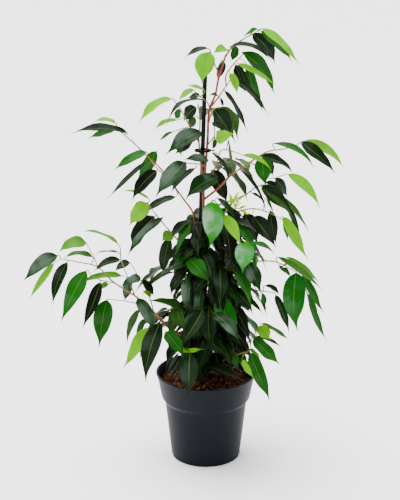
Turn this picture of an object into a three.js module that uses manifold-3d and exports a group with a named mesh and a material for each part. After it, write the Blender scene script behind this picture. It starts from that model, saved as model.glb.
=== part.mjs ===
// A weeping fig in a round plastic nursery pot, with its stake and ties.
// Millimetres, +Z up, front towards -Y, origin at the middle of the pot's underside.
import * as THREE from 'three';
import { mergeVertices } from 'three/addons/utils/BufferGeometryUtils.js';
import Module from 'manifold-3d';

const wasm = await Module();
wasm.setup();

// ---- pot -------------------------------------------------------------
const POT_HEIGHT = 152;
const RIM_RADIUS = 85;
const BASE_RADIUS = 59;
const BAND_HEIGHT = 43;
const BAND_FOOT_RADIUS = 75.5;
const SHOULDER_DROP = 11;
const SHOULDER_STEP = 6;
const SHOULDER_BULGE = 1;
const FOOT_LINE_HEIGHT = 12;
const FOOT_LINE_STEP = 0.8;
const RIM_LIP = 1.6;
const WALL = 1.8;
const FLOOR = 2.4;
const ROUND_SIDES = 36;
const DRAIN_DEGREES = [-12, 56, 124, 192];
const DRAIN_WIDTH = 11;
const DRAIN_HEIGHT = 6;
const DRAIN_DEPTH = 9;
const EDGE_ROUND = 1;
const LIP_HEIGHT = 3;
const LIP_CHAMFER = 0.4;

// ---- what stands in it -----------------------------------------------
const FIT = 0.35;
const SOIL_DROP = 17;
const SOIL_DOME = 2;
const ROOTING_DEPTH = 55;
const STAKE_RADIUS = 3.7;
const STAKE_LENGTH = 586;
const STAKE_LEAN = 0.0304;
const STAKE_FOOT_X = -19.5;
const STAKE_TIP = 1.2;
const MAIN_STEM_RADIUS = 3.8;
const MAIN_STEM_TIP_RADIUS = 1.5;
const SECOND_STEM_RADIUS = 2.8;
const SECOND_STEM_TIP_RADIUS = 1.0;
const STEM_GAP = 0.5;
const STEM_SIDES = 7;
const TWIG_SIDES = 5;
const UPPER_TIE_UP = 536;
const LOWER_TIE_UP = 392;
const TIE_HEIGHT = 4;
const TIE_WALL = 1.4;
const TIE_TAIL = 6;

// ---- leaves ----------------------------------------------------------
const BLADE_THICKNESS = 1.0;
const BLADE_FOLD = 0.24;
const PETIOLE_RADIUS = 0.8;
const LEAF_CLEARANCE = 0.3;
const SHIFT_STEP = 3;
const SHIFT_TRIES = 90;

// Heights in the tables below are taken with the soil at this level.
const TABLE_SOIL = 135;
const SOIL_TOP = POT_HEIGHT - SOIL_DROP;
const RAISE = SOIL_TOP - TABLE_SOIL;

// The tables are a front elevation drawn from this sight point, so a piece keeps its
// outline there however deep it sits.
const SIGHT = new THREE.Vector3(-10, -2000, 986);

const vec = (x, y, z) => new THREE.Vector3(x, y, z);
const UP = vec(0, 0, 1);

// A point (x, z) of the elevation, moved along its sight line to the depth y.
function place(x, z, y) {
  const scale = (y - SIGHT.y) / -SIGHT.y;
  const point = vec(SIGHT.x + (x - SIGHT.x) * scale, y, SIGHT.z + (z - SIGHT.z) * scale);
  point.z += RAISE;
  return point;
}

// ---- solids ----------------------------------------------------------
function toSolid(geometry) {
  geometry.deleteAttribute('normal');
  geometry.deleteAttribute('uv');
  const merged = mergeVertices(geometry, 1e-4);
  return new wasm.Manifold(new wasm.Mesh({
    numProp: 3,
    vertProperties: new Float32Array(merged.attributes.position.array),
    triVerts: new Uint32Array(merged.index.array),
  }));
}

// Cuts leave slivers, and those thinner than this are closed up.
const SLIVER = 0.02;

function toGeometry(solid) {
  const mesh = solid.simplify(SLIVER).getMesh();
  const geometry = new THREE.BufferGeometry();
  geometry.setAttribute('position', new THREE.BufferAttribute(mesh.vertProperties, 3));
  geometry.setIndex(new THREE.BufferAttribute(mesh.triVerts, 1));
  geometry.computeVertexNormals();
  return geometry;
}

// A round bar along a smooth path, tapering from its first radius to its last.
function bar(path, startRadius, endRadius, sides, steps) {
  const ring = new THREE.Shape();
  for (let k = 0; k < sides; k += 1) {
    const angle = (2 * Math.PI * k) / sides;
    const corner = [startRadius * Math.cos(angle), startRadius * Math.sin(angle)];
    if (k === 0) ring.moveTo(...corner);
    else ring.lineTo(...corner);
  }
  ring.closePath();
  const geometry = new THREE.ExtrudeGeometry(ring, { steps, extrudePath: path });
  const centres = path.getSpacedPoints(steps);
  const position = geometry.attributes.position;
  const corner = new THREE.Vector3();
  for (let i = 0; i < position.count; i += 1) {
    corner.fromBufferAttribute(position, i);
    let nearest = 0;
    for (let s = 1; s <= steps; s += 1) {
      if (corner.distanceTo(centres[s]) < corner.distanceTo(centres[nearest])) nearest = s;
    }
    const size = 1 + ((endRadius / startRadius) - 1) * (nearest / steps);
    corner.sub(centres[nearest]).multiplyScalar(size).add(centres[nearest]);
    position.setXYZ(i, corner.x, corner.y, corner.z);
  }
  return toSolid(geometry);
}

const smooth = (points) => new THREE.CatmullRomCurve3(points, false, 'centripetal');

const barSteps = (path) => 2 + path.points.length;

// Points along the middle of a bar, so many to each of its straight steps.
function barPoints(path, steps, parts) {
  const centres = path.getSpacedPoints(steps);
  const points = [centres[0]];
  for (let i = 1; i <= steps; i += 1) {
    for (let k = 1; k <= parts; k += 1) {
      points.push(centres[i - 1].clone().lerp(centres[i], k / parts));
    }
  }
  return points;
}

// ---- leaf shape ------------------------------------------------------
// Stations along a blade and the share of its half width there.
const BLADE_STATIONS = [[0.16, 0.78], [0.46, 1], [0.78, 0.46]];

// The two directions a blade is hung by: the way its upper face looks and its chord.
function faceOf(base, tip, roll) {
  const chord = tip.clone().sub(base).normalize();
  const middle = base.clone().add(tip).multiplyScalar(0.5);
  const view = SIGHT.clone().sub(middle);
  view.addScaledVector(chord, -view.dot(chord)).normalize();
  const up = view.clone().cross(chord).normalize();
  if (up.dot(vec(Math.sign(middle.x) * 0.4, 0, 1)) < 0) up.negate();
  const turn = THREE.MathUtils.degToRad(roll);
  return view.multiplyScalar(Math.cos(turn)).addScaledVector(up, Math.sin(turn));
}

// Four points round a centre: a lens of the given half width and half thickness across
// the way ahead, its edges lifted by the fold.
function ringAt(centre, ahead, face, half, thick, fold) {
  const side = ahead.clone().cross(face).normalize();
  const up = side.clone().cross(ahead).normalize();
  const off = (sideways, upwards) => (
    centre.clone().addScaledVector(side, sideways).addScaledVector(up, upwards));
  return [off(half, fold * half), off(0, thick), off(-half, fold * half), off(0, -thick)];
}

// A closed skin over rings of four points, flat at the first and drawn to a point.
function skin(rings, point) {
  const points = [...rings.flat(), point];
  const last = points.length - 1;
  const index = [0, 1, 2, 0, 2, 3];
  for (let k = 0; k < 4; k += 1) {
    const next = (k + 1) % 4;
    for (let here = 0; here < last - 4; here += 4) {
      index.push(here + k, here + 4 + k, here + next);
      index.push(here + next, here + 4 + k, here + 4 + next);
    }
    index.push(last - 4 + k, last, last - 4 + next);
  }
  const geometry = new THREE.BufferGeometry();
  const flat = points.flatMap((p) => p.toArray());
  geometry.setAttribute('position', new THREE.Float32BufferAttribute(flat, 3));
  geometry.setIndex(index);
  return toSolid(geometry);
}

// A leaf: its blade on an arched spine, and its petiole from the nearest point of the wood.
function leafSolids(leaf, woodPoints) {
  const { base, tip, face, width, arch } = leaf;
  const length = base.distanceTo(tip);
  const middle = base.clone().add(tip).multiplyScalar(0.5).addScaledVector(face, arch * length);
  const spine = new THREE.QuadraticBezierCurve3(base, middle, tip);
  const neck = ringAt(base, spine.getTangent(0), face, PETIOLE_RADIUS, PETIOLE_RADIUS, 0);
  const rings = BLADE_STATIONS.map(([along, share]) => {
    const [half, thick] = [(share * width) / 2, BLADE_THICKNESS / 2];
    return ringAt(spine.getPoint(along), spine.getTangent(along), face, half, thick, BLADE_FOLD);
  });
  const root = nearestOn(woodPoints, base);
  const ahead = base.clone().sub(root).normalize();
  const foot = ringAt(root, ahead, face, PETIOLE_RADIUS, PETIOLE_RADIUS, 0);
  return { root, blade: skin([neck, ...rings], tip), whole: skin([foot, neck, ...rings], tip) };
}

// ---- stake and stems -------------------------------------------------
// The stake's axis at a height above the ground.
function stakeAxis(z) {
  return vec(STAKE_FOOT_X + STAKE_LEAN * (z - SOIL_TOP + ROOTING_DEPTH + WALL), 0, z);
}

// A point of a stem of the given radius, so many millimetres clear of the stake, in a
// direction in degrees, 0 towards +X and -90 towards the front.
function beside(height, radius, direction, clear) {
  const angle = THREE.MathUtils.degToRad(direction);
  const reach = STAKE_RADIUS + STEM_GAP + radius + clear;
  const z = height + RAISE;
  return stakeAxis(z).add(vec(reach * Math.cos(angle), reach * Math.sin(angle), 0));
}

const MAIN_STEM_PATH = smooth([
  beside(SOIL_TOP - RAISE - ROOTING_DEPTH, MAIN_STEM_RADIUS, -20, 11),
  beside(155, MAIN_STEM_RADIUS, -20, 10.5),
  beside(248, MAIN_STEM_RADIUS, -22, 8.5),
  beside(310, MAIN_STEM_RADIUS, -30, 5),
  beside(375, MAIN_STEM_RADIUS, -49, 0.2),
  beside(430, MAIN_STEM_RADIUS, -56, 0.2),
  beside(471, MAIN_STEM_RADIUS, -66, 0.2),
  beside(516, MAIN_STEM_RADIUS, -48, 0.2),
  beside(552, MAIN_STEM_RADIUS, -28, 0.2),
  beside(603, MAIN_STEM_RADIUS, -15, 1),
  place(14, 625, -5),
  place(18, 645, -6),
  place(23, 664, -7),
  place(31, 690, -8),
]);

const SECOND_STEM_PATH = smooth([
  beside(SOIL_TOP - RAISE - ROOTING_DEPTH, SECOND_STEM_RADIUS, 190, 5),
  beside(180, SECOND_STEM_RADIUS, 190, 4),
  beside(260, SECOND_STEM_RADIUS, 190, 1),
  beside(340, SECOND_STEM_RADIUS, 185, 0.2),
  beside(405, SECOND_STEM_RADIUS, 185, 0.2),
  place(-22, 432, -4),
  place(-36, 453, -8),
  place(-59, 486, -12),
  place(-78, 510, -14),
  place(-97, 528, -14),
  place(-121, 552, -12),
]);

const MAIN_STEM_STEPS = 24;
const SECOND_STEM_STEPS = 20;

// ---- branches --------------------------------------------------------
// Each branch: its parent, its wood as paths of [x, z, y] with a radius at each end, and
// its leaves as [base x, base z, tip x, tip z, width, roll, arch, base y, tip y].
// Roll 0 shows the upper face to the front and 90 turns it up.
const BRANCHES = [
  {
    name: 'crown_spray', parent: 'main_stem', radii: [1.5, 0.8],
    wood: [[[30, 688, -8], [41, 702, -10], [66, 719, -13], [83, 728, -15]]],
    leaves: [
      [87, 731, 147, 672, 19, 50, 0.22, -18, -30], [86, 727, 138, 680, 18, 35, 0.16, -8, 2],
      [37, 702, 104, 677, 16, 62, 0.32, -22, -38], [72, 722, 110, 676, 24, 30, 0.2, 4, 20],
      [80, 730, 58, 717, 12, 60, 0.15, 4, 18], [46, 704, 40, 679, 14, 20, 0.1, 6, 14],
      [32, 698, 11, 692, 18, 40, 0.12, -14, -34],
    ],
  },
  {
    name: 'crown_left_spray', parent: 'main_stem', radii: [1.2, 0.8],
    wood: [[[20, 655, -7], [16, 668, -10], [9, 686, -12]]],
    leaves: [
      [2, 700, -36, 681, 13, 55, 0.25, -4, 12], [4, 694, -8, 644, 31, 8, 0.08, -14, -26],
      [26, 680, 18, 650, 15, 30, 0.12, 14, 34],
    ],
  },
  {
    name: 'right_leader', parent: 'main_stem', radii: [1.6, 0.8],
    wood: [
      [[9, 607, -5], [21, 624, -9], [27, 634, -12], [34, 643, -14], [39, 652, -16]],
      [[30, 641, -13], [31, 656, -16], [42, 674, -18], [58, 690, -18]],
    ],
    leaves: [
      [57, 694, 107, 625, 25, 38, 0.24, -10, 8], [50, 676, 112, 640, 14, 50, 0.14, -28, -44],
      [41, 653, 100, 592, 15, 45, 0.2, -26, -44], [64, 674, 91, 600, 18, 22, 0.1, 4, 24],
      [38, 660, 50, 627, 14, 20, 0.1, -34, -50], [46, 674, 62, 630, 21, 25, 0.15, -4, 16],
      [53, 668, 72, 623, 14, 30, 0.12, -16, -6], [29, 633, 67, 561, 13, 50, 0.2, -22, -46],
      [19, 624, 4, 626, 8, 50, 0.12, -16, -26], [22, 621, 28, 606, 6, 30, 0.1, -4, 4],
    ],
  },
  {
    name: 'crown_side_spray', parent: 'main_stem', radii: [1.1, 0.8],
    wood: [[[7, 597, -6], [3, 612, -11], [-5, 620, -12], [-16, 626, -12]]],
    leaves: [
      [-2, 617, -64, 574, 14, 66, 0.42, -20, -48], [-3, 633, -35, 641, 11, 60, 0.14, -16, -8],
      [-20, 634, -46, 615, 14, 50, 0.15, -12, 4], [-10, 624, -30, 621, 12, 40, 0.1, 2, 18],
    ],
  },
  {
    name: 'left_leader', parent: 'main_stem', radii: [2.1, 0.9],
    wood: [
      [[-4, 476, -7], [-7, 503, -12], [-10, 530, -8], [-12, 556, -8], [-10, 580, -9],
        [-13, 612, -7]],
      [[-12, 548, -11], [-17, 558, -15], [-28, 578, -18], [-35, 592, -19], [-45, 608, -20]],
    ],
    leaves: [
      [-56, 620, -109, 577, 18, 42, 0.22, -22, -34], [-48, 585, -86, 567, 11, 48, 0.2, -10, 0],
      [-42, 603, -50, 586, 12, 20, 0.1, -8, 4], [-16, 606, -37, 584, 22, 25, 0.12, 4, 20],
      [-18, 590, -24, 572, 14, 15, 0.1, 16, 34], [-8, 566, -64, 528, 30, 30, 0.16, -26, -52],
      [-54, 566, -77, 550, 8, 50, 0.12, 0, 16], [-20, 556, -50, 530, 21, 28, 0.15, 0, 12],
      [-42, 548, -40, 527, 13, 10, 0.1, -22, -34],
    ],
  },
  {
    name: 'centre_left_spray', parent: 'main_stem', radii: [1.4, 0.8],
    wood: [[[0, 508, -8], [-7, 512, -23], [-20, 514, -26], [-32, 514, -26]]],
    leaves: [
      [3, 520, -38, 520, 21, 50, 0.2, -30, -52], [-34, 516, -83, 459, 33, 32, 0.15, -30, -56],
      [-18, 506, -58, 461, 14, 46, 0.34, -14, -6],
    ],
  },
  {
    name: 'centre_right_spray', parent: 'main_stem', radii: [1.3, 0.8],
    wood: [
      [[0, 484, -7], [9, 495, -14], [19, 521, -20], [25, 536, -22], [42, 534, -24], [54, 530, -26]],
    ],
    leaves: [
      [59, 528, 107, 503, 11, 40, 0.22, -30, -48], [10, 531, 39, 483, 10, 48, 0.2, -24, -38],
      [36, 552, 49, 476, 8, 55, -0.08, -14, -6], [17, 490, -34, 455, 32, 28, 0.14, -30, -58],
      [9, 503, 36, 450, 27, 25, 0.14, 0, 14],
    ],
  },
  {
    name: 'upper_right_spray', parent: 'main_stem', radii: [1.2, 0.8],
    wood: [[[3, 545, -6], [8, 552, -12], [13, 560, -14], [12, 585, -12]]],
    leaves: [
      [16, 556, 46, 565, 22, 14, 0.1, -24, -46], [13, 602, 40, 562, 30, 22, 0.18, -8, 10],
      [10, 580, 27, 568, 11, 30, 0.1, -22, -34], [14, 555, 10, 537, 8, 10, 0.1, 4, 14],
    ],
  },
  {
    name: 'right_branch', parent: 'main_stem', radii: [2.0, 0.8],
    wood: [
      [[0, 452, -8], [20, 473, -14], [41, 495, -18], [64, 511, -20], [98, 533, -22],
        [129, 539, -22], [150, 547, -22]],
    ],
    leaves: [
      [109, 547, 178, 504, 16, 52, 0.27, -34, -56], [157, 551, 224, 504, 19, 42, 0.28, -18, -6],
      [153, 549, 211, 500, 22, 32, 0.2, -28, -44], [88, 526, 142, 498, 18, 46, 0.28, -12, 6],
      [54, 504, 100, 425, 10, 55, 0.28, -26, -46],
    ],
  },
  {
    name: 'right_under_spray', parent: 'right_branch', radii: [1.1, 0.7],
    wood: [[[72, 515, -20], [88, 505, -8], [104, 489, -2], [124, 494, 0]]],
    leaves: [
      [91, 524, 96, 477, 28, 8, 0.06, -20, -34], [97, 521, 108, 492, 13, 20, 0.1, 12, 30],
      [133, 496, 187, 440, 21, 38, 0.18, 0, -8], [112, 489, 132, 458, 18, 32, 0.14, 12, 30],
    ],
  },
  {
    name: 'right_middle_spray', parent: 'main_stem', radii: [1.7, 0.8],
    wood: [[[-2, 436, -8], [30, 448, -2], [66, 463, 2], [82, 475, 2], [95, 478, 0], [118, 462, 0]]],
    leaves: [
      [97, 483, 127, 456, 18, 42, 0.18, 10, 26], [90, 476, 146, 428, 26, 30, 0.14, -14, -30],
      [122, 460, 172, 396, 13, 58, 0.1, -2, 6], [97, 465, 148, 416, 11, 42, 0.1, -34, -54],
      [128, 452, 156, 379, 10, 20, 0.08, 8, 26], [74, 465, 96, 448, 6, 40, 0.1, -10, -20],
    ],
  },
  {
    name: 'right_lower_spray', parent: 'main_stem', radii: [1.7, 0.8],
    wood: [[[-3, 412, -8], [30, 422, -4], [52, 433, -2], [80, 438, -2], [108, 429, -4], [122, 421, -6]]],
    leaves: [
      [126, 424, 168, 350, 21, 32, 0.15, -16, -34], [127, 417, 134, 383, 10, 18, 0.06, 0, 6],
      [78, 425, 117, 373, 27, 22, 0.12, -18, -36], [105, 435, 117, 378, 18, 14, 0.1, 8, 22],
      [62, 430, 84, 378, 28, 14, 0.1, 16, 36], [98, 456, 111, 430, 6, 40, 0.1, 12, 20],
    ],
  },
  {
    name: 'young_tuft', parent: 'main_stem', radii: [1.3, 0.6],
    wood: [
      [[-3, 420, -8], [25, 430, -24], [40, 438, -28], [53, 450, -30]],
      [[40, 438, -28], [54, 438, -32], [62, 434, -34]],
    ],
    leaves: [
      [40, 442, 37, 468, 8, 20, 0.1, -34, -44], [45, 446, 57, 470, 7, 30, 0.12, -38, -50],
      [52, 452, 70, 463, 7, 40, 0.16, -26, -22], [46, 438, 60, 450, 6, 40, 0.16, -44, -58],
      [54, 438, 68, 443, 6, 40, 0.16, -28, -20], [58, 434, 70, 427, 7, 30, 0.12, -40, -50],
      [34, 434, 33, 456, 7, 20, 0.12, -22, -14], [48, 444, 48, 466, 6, 60, 0.12, -24, -16],
    ],
  },
  {
    name: 'front_middle_spray', parent: 'main_stem', radii: [1.5, 0.8],
    wood: [[[-3, 424, -9], [4, 438, -26], [12, 452, -38], [26, 436, -44]]],
    leaves: [
      [9, 450, 8, 371, 35, 6, 0.1, -58, -78], [29, 427, 57, 374, 20, 18, 0.1, -50, -74],
      [18, 456, 49, 417, 13, 46, 0.16, -34, -52], [34, 440, 60, 399, 19, 20, 0.12, -18, -10],
    ],
  },
  {
    name: 'front_right_spray', parent: 'main_stem', radii: [1.6, 0.8],
    wood: [[[0, 340, -10], [30, 356, -32], [54, 374, -46], [66, 381, -52]]],
    leaves: [
      [68, 380, 60, 328, 32, 8, 0.1, -62, -84], [70, 379, 116, 357, 11, 46, 0.3, -54, -66],
      [68, 346, 92, 292, 26, 22, 0.12, -40, -58], [44, 366, 30, 326, 22, 30, 0.14, -30, -44],
    ],
  },
  {
    name: 'right_low_branch', parent: 'main_stem', radii: [2.0, 0.8],
    wood: [
      [[3, 312, -8], [40, 333, -14], [76, 346, -18], [114, 347, -20], [139, 335, -24], [149, 329, -26]],
      [[128, 341, -22], [140, 344, -10], [156, 332, -2], [166, 300, 2]],
    ],
    leaves: [
      [150, 328, 152, 226, 38, 5, 0.07, -34, -52], [119, 355, 198, 296, 15, 46, 0.14, -32, -44],
      [134, 355, 190, 308, 13, 38, 0.18, -8, 4], [160, 326, 198, 254, 16, 32, 0.1, -14, -30],
      [170, 290, 191, 244, 12, 28, 0.06, 12, 26], [172, 280, 203, 206, 12, 24, 0.06, -8, 0],
      [121, 339, 131, 327, 7, 30, 0.1, -10, 0], [128, 337, 142, 320, 9, 30, 0.1, -38, -48],
    ],
  },
  {
    name: 'right_low_spray', parent: 'main_stem', radii: [1.5, 0.8],
    wood: [[[3, 262, -8], [30, 280, -14], [62, 297, -18], [91, 296, -16], [116, 292, -14]]],
    leaves: [
      [99, 305, 124, 287, 12, 46, 0.2, -24, -34], [116, 289, 143, 219, 15, 26, 0.08, -18, -30],
      [62, 291, 98, 254, 10, 36, 0.08, -28, -40], [83, 297, 90, 277, 7, 18, 0.06, -6, 2],
      [42, 300, 80, 256, 25, 22, 0.12, -26, -44], [94, 292, 96, 262, 10, 20, 0.06, 0, 12],
    ],
  },
  {
    name: 'front_low_spray', parent: 'main_stem', radii: [1.5, 0.8],
    wood: [
      [[3, 250, -8], [12, 268, -34], [21, 284, -54]],
      [[10, 262, -28], [28, 262, -42], [46, 262, -46]],
    ],
    leaves: [
      [22, 284, 54, 212, 33, 16, 0.1, -66, -86], [52, 258, 73, 213, 17, 18, 0.08, -50, -60],
      [32, 238, 72, 190, 28, 22, 0.12, -46, -58], [2, 262, 14, 206, 24, 16, 0.1, -44, -58],
      [26, 300, 30, 256, 22, 20, 0.1, -36, -40],
    ],
  },
  {
    name: 'right_foot_spray', parent: 'main_stem', radii: [1.4, 0.8],
    wood: [[[2, 186, -8], [38, 196, -22], [68, 201, -30], [77, 211, -32], [90, 232, -32]]],
    leaves: [
      [91, 233, 109, 208, 22, 14, 0.12, -36, -46], [94, 238, 143, 205, 11, 48, 0.2, -26, -18],
      [80, 211, 127, 163, 25, 28, 0.1, -40, -52], [84, 214, 132, 191, 8, 40, 0.12, -18, -10],
      [42, 205, 70, 172, 22, 22, 0.12, -38, -48],
    ],
  },
  {
    name: 'rim_right_spray', parent: 'main_stem', radii: [1.4, 0.8],
    wood: [[[2, 160, -8], [34, 172, -34], [60, 184, -52], [73, 188, -60]]],
    leaves: [
      [75, 185, 113, 97, 24, 16, 0.1, -66, -86], [74, 192, 93, 171, 9, 38, 0.2, -50, -44],
      [62, 172, 82, 138, 11, 18, 0.08, -76, -92], [40, 188, 54, 156, 14, 16, 0.1, -60, -72],
      [-2, 214, 36, 179, 27, 28, 0.14, -62, -76],
    ],
  },
  {
    name: 'pot_front_spray', parent: 'main_stem', radii: [1.5, 0.8],
    wood: [
      [[2, 172, -10], [-10, 184, -34], [-24, 190, -56], [-46, 196, -62], [-60, 212, -60]],
      [[-10, 184, -34], [-12, 176, -48], [-11, 168, -56]],
    ],
    leaves: [
      [-68, 223, -36, 178, 25, 18, 0.12, -66, -84], [-44, 189, -2, 193, 11, 46, -0.08, -60, -74],
      [-27, 183, -28, 106, 31, 6, 0.1, -82, -96], [-46, 184, -67, 145, 8, 30, 0.06, -58, -50],
      [-12, 162, 68, 130, 24, 52, 0.08, -60, -60],
    ],
  },
  {
    name: 'low_left_branch', parent: 'main_stem', radii: [2.3, 0.9],
    wood: [
      [[2, 192, -8], [-20, 206, -20], [-61, 229, -24], [-90, 259, -24], [-115, 284, -22],
        [-155, 312, -20], [-180, 338, -18], [-211, 346, -18], [-240, 352, -20]],
    ],
    leaves: [
      [-246, 358, -304, 312, 27, 34, 0.16, -30, -46], [-252, 344, -297, 281, 13, 26, 0.1, -8, 0],
      [-230, 346, -257, 270, 20, 22, 0.08, -22, -32], [-188, 355, -239, 350, 13, 50, 0.32, -6, 4],
    ],
  },
  {
    name: 'low_left_upper_spray', parent: 'low_left_branch', radii: [1.0, 0.7],
    wood: [[[-178, 337, -18], [-187, 358, -14], [-197, 377, -12]]],
    leaves: [[-198, 380, -245, 364, 24, 36, 0.34, -16, -26]],
  },
  {
    name: 'low_left_middle_spray', parent: 'low_left_branch', radii: [1.2, 0.7],
    wood: [[[-118, 287, -22], [-126, 309, -30], [-136, 335, -34], [-141, 351, -34]]],
    leaves: [
      [-142, 350, -187, 329, 17, 42, 0.2, -40, -52], [-145, 377, -212, 400, 14, 70, 0.2, -30, -18],
      [-145, 363, -187, 361, 9, 70, 0.12, -22, -12], [-109, 320, -143, 305, 18, 32, 0.15, -44, -56],
      [-129, 318, -137, 278, 17, 14, 0.1, -14, -6], [-140, 322, -214, 308, 14, 38, 0.12, -20, -8],
    ],
  },
  {
    name: 'low_left_inner_spray', parent: 'low_left_branch', radii: [1.1, 0.7],
    wood: [[[-86, 255, -24], [-93, 280, -12], [-107, 311, -6], [-125, 344, -4]]],
    leaves: [
      [-92, 287, -107, 297, 9, 30, 0.1, -18, -22], [-126, 345, -152, 330, 16, 36, 0.16, 4, 18],
      [-106, 314, -86, 288, 16, 30, 0.14, 8, 24],
    ],
  },
  {
    name: 'low_left_hanging_spray', parent: 'low_left_branch', radii: [1.0, 0.7],
    wood: [[[-150, 309, -20], [-162, 312, -28], [-176, 315, -32], [-190, 322, -34]]],
    leaves: [
      [-199, 331, -242, 241, 29, 22, 0.1, -38, -54], [-176, 311, -209, 230, 21, 22, 0.08, -44, -62],
      [-162, 308, -185, 296, 11, 30, 0.1, -14, -4],
    ],
  },
  {
    name: 'low_left_light_spray', parent: 'low_left_branch', radii: [1.1, 0.7],
    wood: [[[-100, 270, -24], [-112, 273, -30], [-138, 278, -36], [-160, 281, -38]]],
    leaves: [
      [-166, 280, -180, 196, 31, 4, 0.06, -42, -58], [-111, 264, -134, 200, 13, 26, 0.1, -14, -4],
      [-103, 246, -119, 217, 11, 18, 0.08, -2, 10],
    ],
  },
  {
    name: 'left_foot_spray', parent: 'low_left_branch', radii: [1.3, 0.8],
    wood: [[[-56, 226, -24], [-70, 240, -36], [-92, 264, -44], [-112, 280, -46]]],
    leaves: [
      [-36, 260, -98, 281, 28, 62, 0.12, -44, -50], [-115, 282, -88, 223, 22, 16, 0.1, -56, -72],
      [-77, 240, -104, 132, 31, 16, 0.08, -44, -62], [-97, 230, -139, 156, 24, 26, 0.1, -30, -40],
      [-97, 216, -113, 174, 13, 14, 0.06, -22, -16], [-58, 214, -57, 182, 11, 14, 0.06, -30, -36],
      [-48, 262, -36, 226, 22, 16, 0.1, -56, -68],
    ],
  },
  {
    name: 'middle_left_branch', parent: 'second_stem', radii: [1.7, 0.8],
    wood: [[[-17, 350, -2], [-36, 372, -10], [-68, 410, -14], [-88, 436, -14], [-95, 446, -14]]],
    leaves: [
      [-97, 448, -128, 411, 28, 16, 0.1, -20, -30], [-93, 454, -142, 468, 8, 56, 0.26, -8, 2],
      [-71, 422, -133, 355, 17, 40, 0.18, -30, -50], [-84, 425, -122, 362, 30, 30, 0.14, -4, 8],
      [-58, 397, -73, 383, 20, 8, 0.12, -24, -34], [-60, 388, -72, 321, 21, 16, 0.08, -6, 2],
    ],
  },
  {
    name: 'inner_left_spray', parent: 'second_stem', radii: [1.5, 0.8],
    wood: [
      [[-16, 322, -2], [-24, 344, -18], [-24, 362, -30]],
      [[-22, 340, -16], [-32, 336, -34], [-34, 332, -44]],
    ],
    leaves: [
      [-12, 378, -66, 347, 27, 34, 0.2, -24, -30], [-22, 368, -39, 351, 15, 28, 0.12, -44, -54],
      [-27, 343, -100, 308, 13, 52, 0.22, -42, -54], [-29, 352, 5, 310, 28, 16, 0.12, -50, -70],
      [-34, 333, -60, 288, 20, 26, 0.28, -34, -40], [-32, 320, -31, 257, 16, 12, 0.06, -56, -66],
    ],
  },
  {
    name: 'inner_low_spray', parent: 'second_stem', radii: [1.4, 0.8],
    wood: [
      [[-20, 250, -2], [-20, 280, -24], [-12, 300, -36]],
      [[-20, 262, -12], [-34, 268, -24], [-44, 270, -28]],
    ],
    leaves: [
      [-8, 300, -14, 241, 17, 12, 0.06, -48, -58], [-24, 300, -20, 240, 20, 14, 0.08, -32, -38],
      [-46, 270, -64, 214, 22, 18, 0.1, -26, -26], [-16, 246, -12, 198, 22, 14, 0.1, -30, -44],
      [10, 316, 8, 262, 20, 16, 0.08, -34, -44],
    ],
  },
  {
    name: 'upper_left_tip_spray', parent: 'second_stem', radii: [1.1, 0.7],
    wood: [[[-119, 550, -12], [-133, 562, -14], [-144, 572, -14]]],
    leaves: [
      [-145, 580, -184, 581, 11, 54, 0.22, -8, 2], [-127, 564, -221, 563, 17, 46, 0.2, -22, -34],
      [-148, 568, -192, 556, 12, 36, 0.1, 0, 10],
    ],
  },
  {
    name: 'upper_left_spray', parent: 'second_stem', radii: [1.3, 0.7],
    wood: [[[-62, 490, -12], [-74, 500, -20], [-86, 514, -24], [-94, 526, -24]]],
    leaves: [
      [-97, 533, -151, 502, 19, 40, 0.22, -30, -44], [-80, 534, -113, 484, 22, 22, 0.12, -12, 0],
      [-98, 516, -162, 453, 12, 46, 0.15, -32, -46], [-80, 502, -123, 453, 25, 30, 0.12, -20, -20],
      [-50, 458, -108, 424, 17, 44, 0.2, -10, -20],
    ],
  },
];

// Shoots that fill the middle and the back: name, parent, height, direction in degrees
// (90 is straight back), length, number of leaves and how far they spread.
const SHOOTS = [
  ['back_low_spray', 'main_stem', 178, 62, 92, 6, 0.8],
  ['back_low_left_spray', 'second_stem', 205, 118, 88, 6, 0.75],
  ['back_middle_spray', 'main_stem', 262, 82, 104, 7, 0.8],
  ['back_left_spray', 'second_stem', 296, 126, 84, 6, 0.7],
  ['back_right_spray', 'main_stem', 318, 52, 104, 7, 0.75],
  ['back_upper_spray', 'main_stem', 392, 76, 96, 6, 0.7],
  ['back_high_spray', 'main_stem', 486, 52, 80, 5, 0.35],
  ['back_crown_spray', 'main_stem', 580, 78, 56, 4, 0.3],
  ['inner_front_low_spray', 'main_stem', 214, -62, 40, 5, 0.6],
  ['inner_right_low_spray', 'main_stem', 240, -12, 52, 6, 0.6],
  ['inner_left_low_spray', 'second_stem', 250, 165, 36, 5, 0.6],
  ['inner_front_spray', 'main_stem', 276, -84, 36, 5, 0.6],
  ['inner_right_spray', 'main_stem', 304, 14, 58, 6, 0.6],
  ['inner_front_right_spray', 'main_stem', 338, -40, 50, 5, 0.6],
  ['inner_right_middle_spray', 'main_stem', 376, -3, 57, 6, 0.6],
  ['inner_right_upper_spray', 'main_stem', 408, -28, 50, 5, 0.6],
];
const SHOOT_RISE = [0, 0.2, 0.26, 0.2];
const SHOOT_REACH = [0, 0.4, 0.75, 1];
const SHOOT_LEAF_LENGTH = 64;
const SHOOT_LEAF_SWING = 14;
const SHOOT_LEAF_WIDTH = 24;
const SHOOT_LEAF_ARCH = 0.16;

// ---- growing the branches --------------------------------------------
function nearestOn(points, point) {
  return points.reduce((best, p) => (p.distanceTo(point) < best.distanceTo(point) ? p : best));
}

// Wood of a branch listed in the tables: each path starts on what it grows from.
function listedWood(branch, parentPoints) {
  let grown = parentPoints;
  return branch.wood.map((rows) => {
    const points = rows.map((row) => place(...row));
    points[0] = nearestOn(grown, points[0]).clone();
    const path = smooth(points);
    grown = barPoints(path, barSteps(path), 8);
    return path;
  });
}

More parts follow.
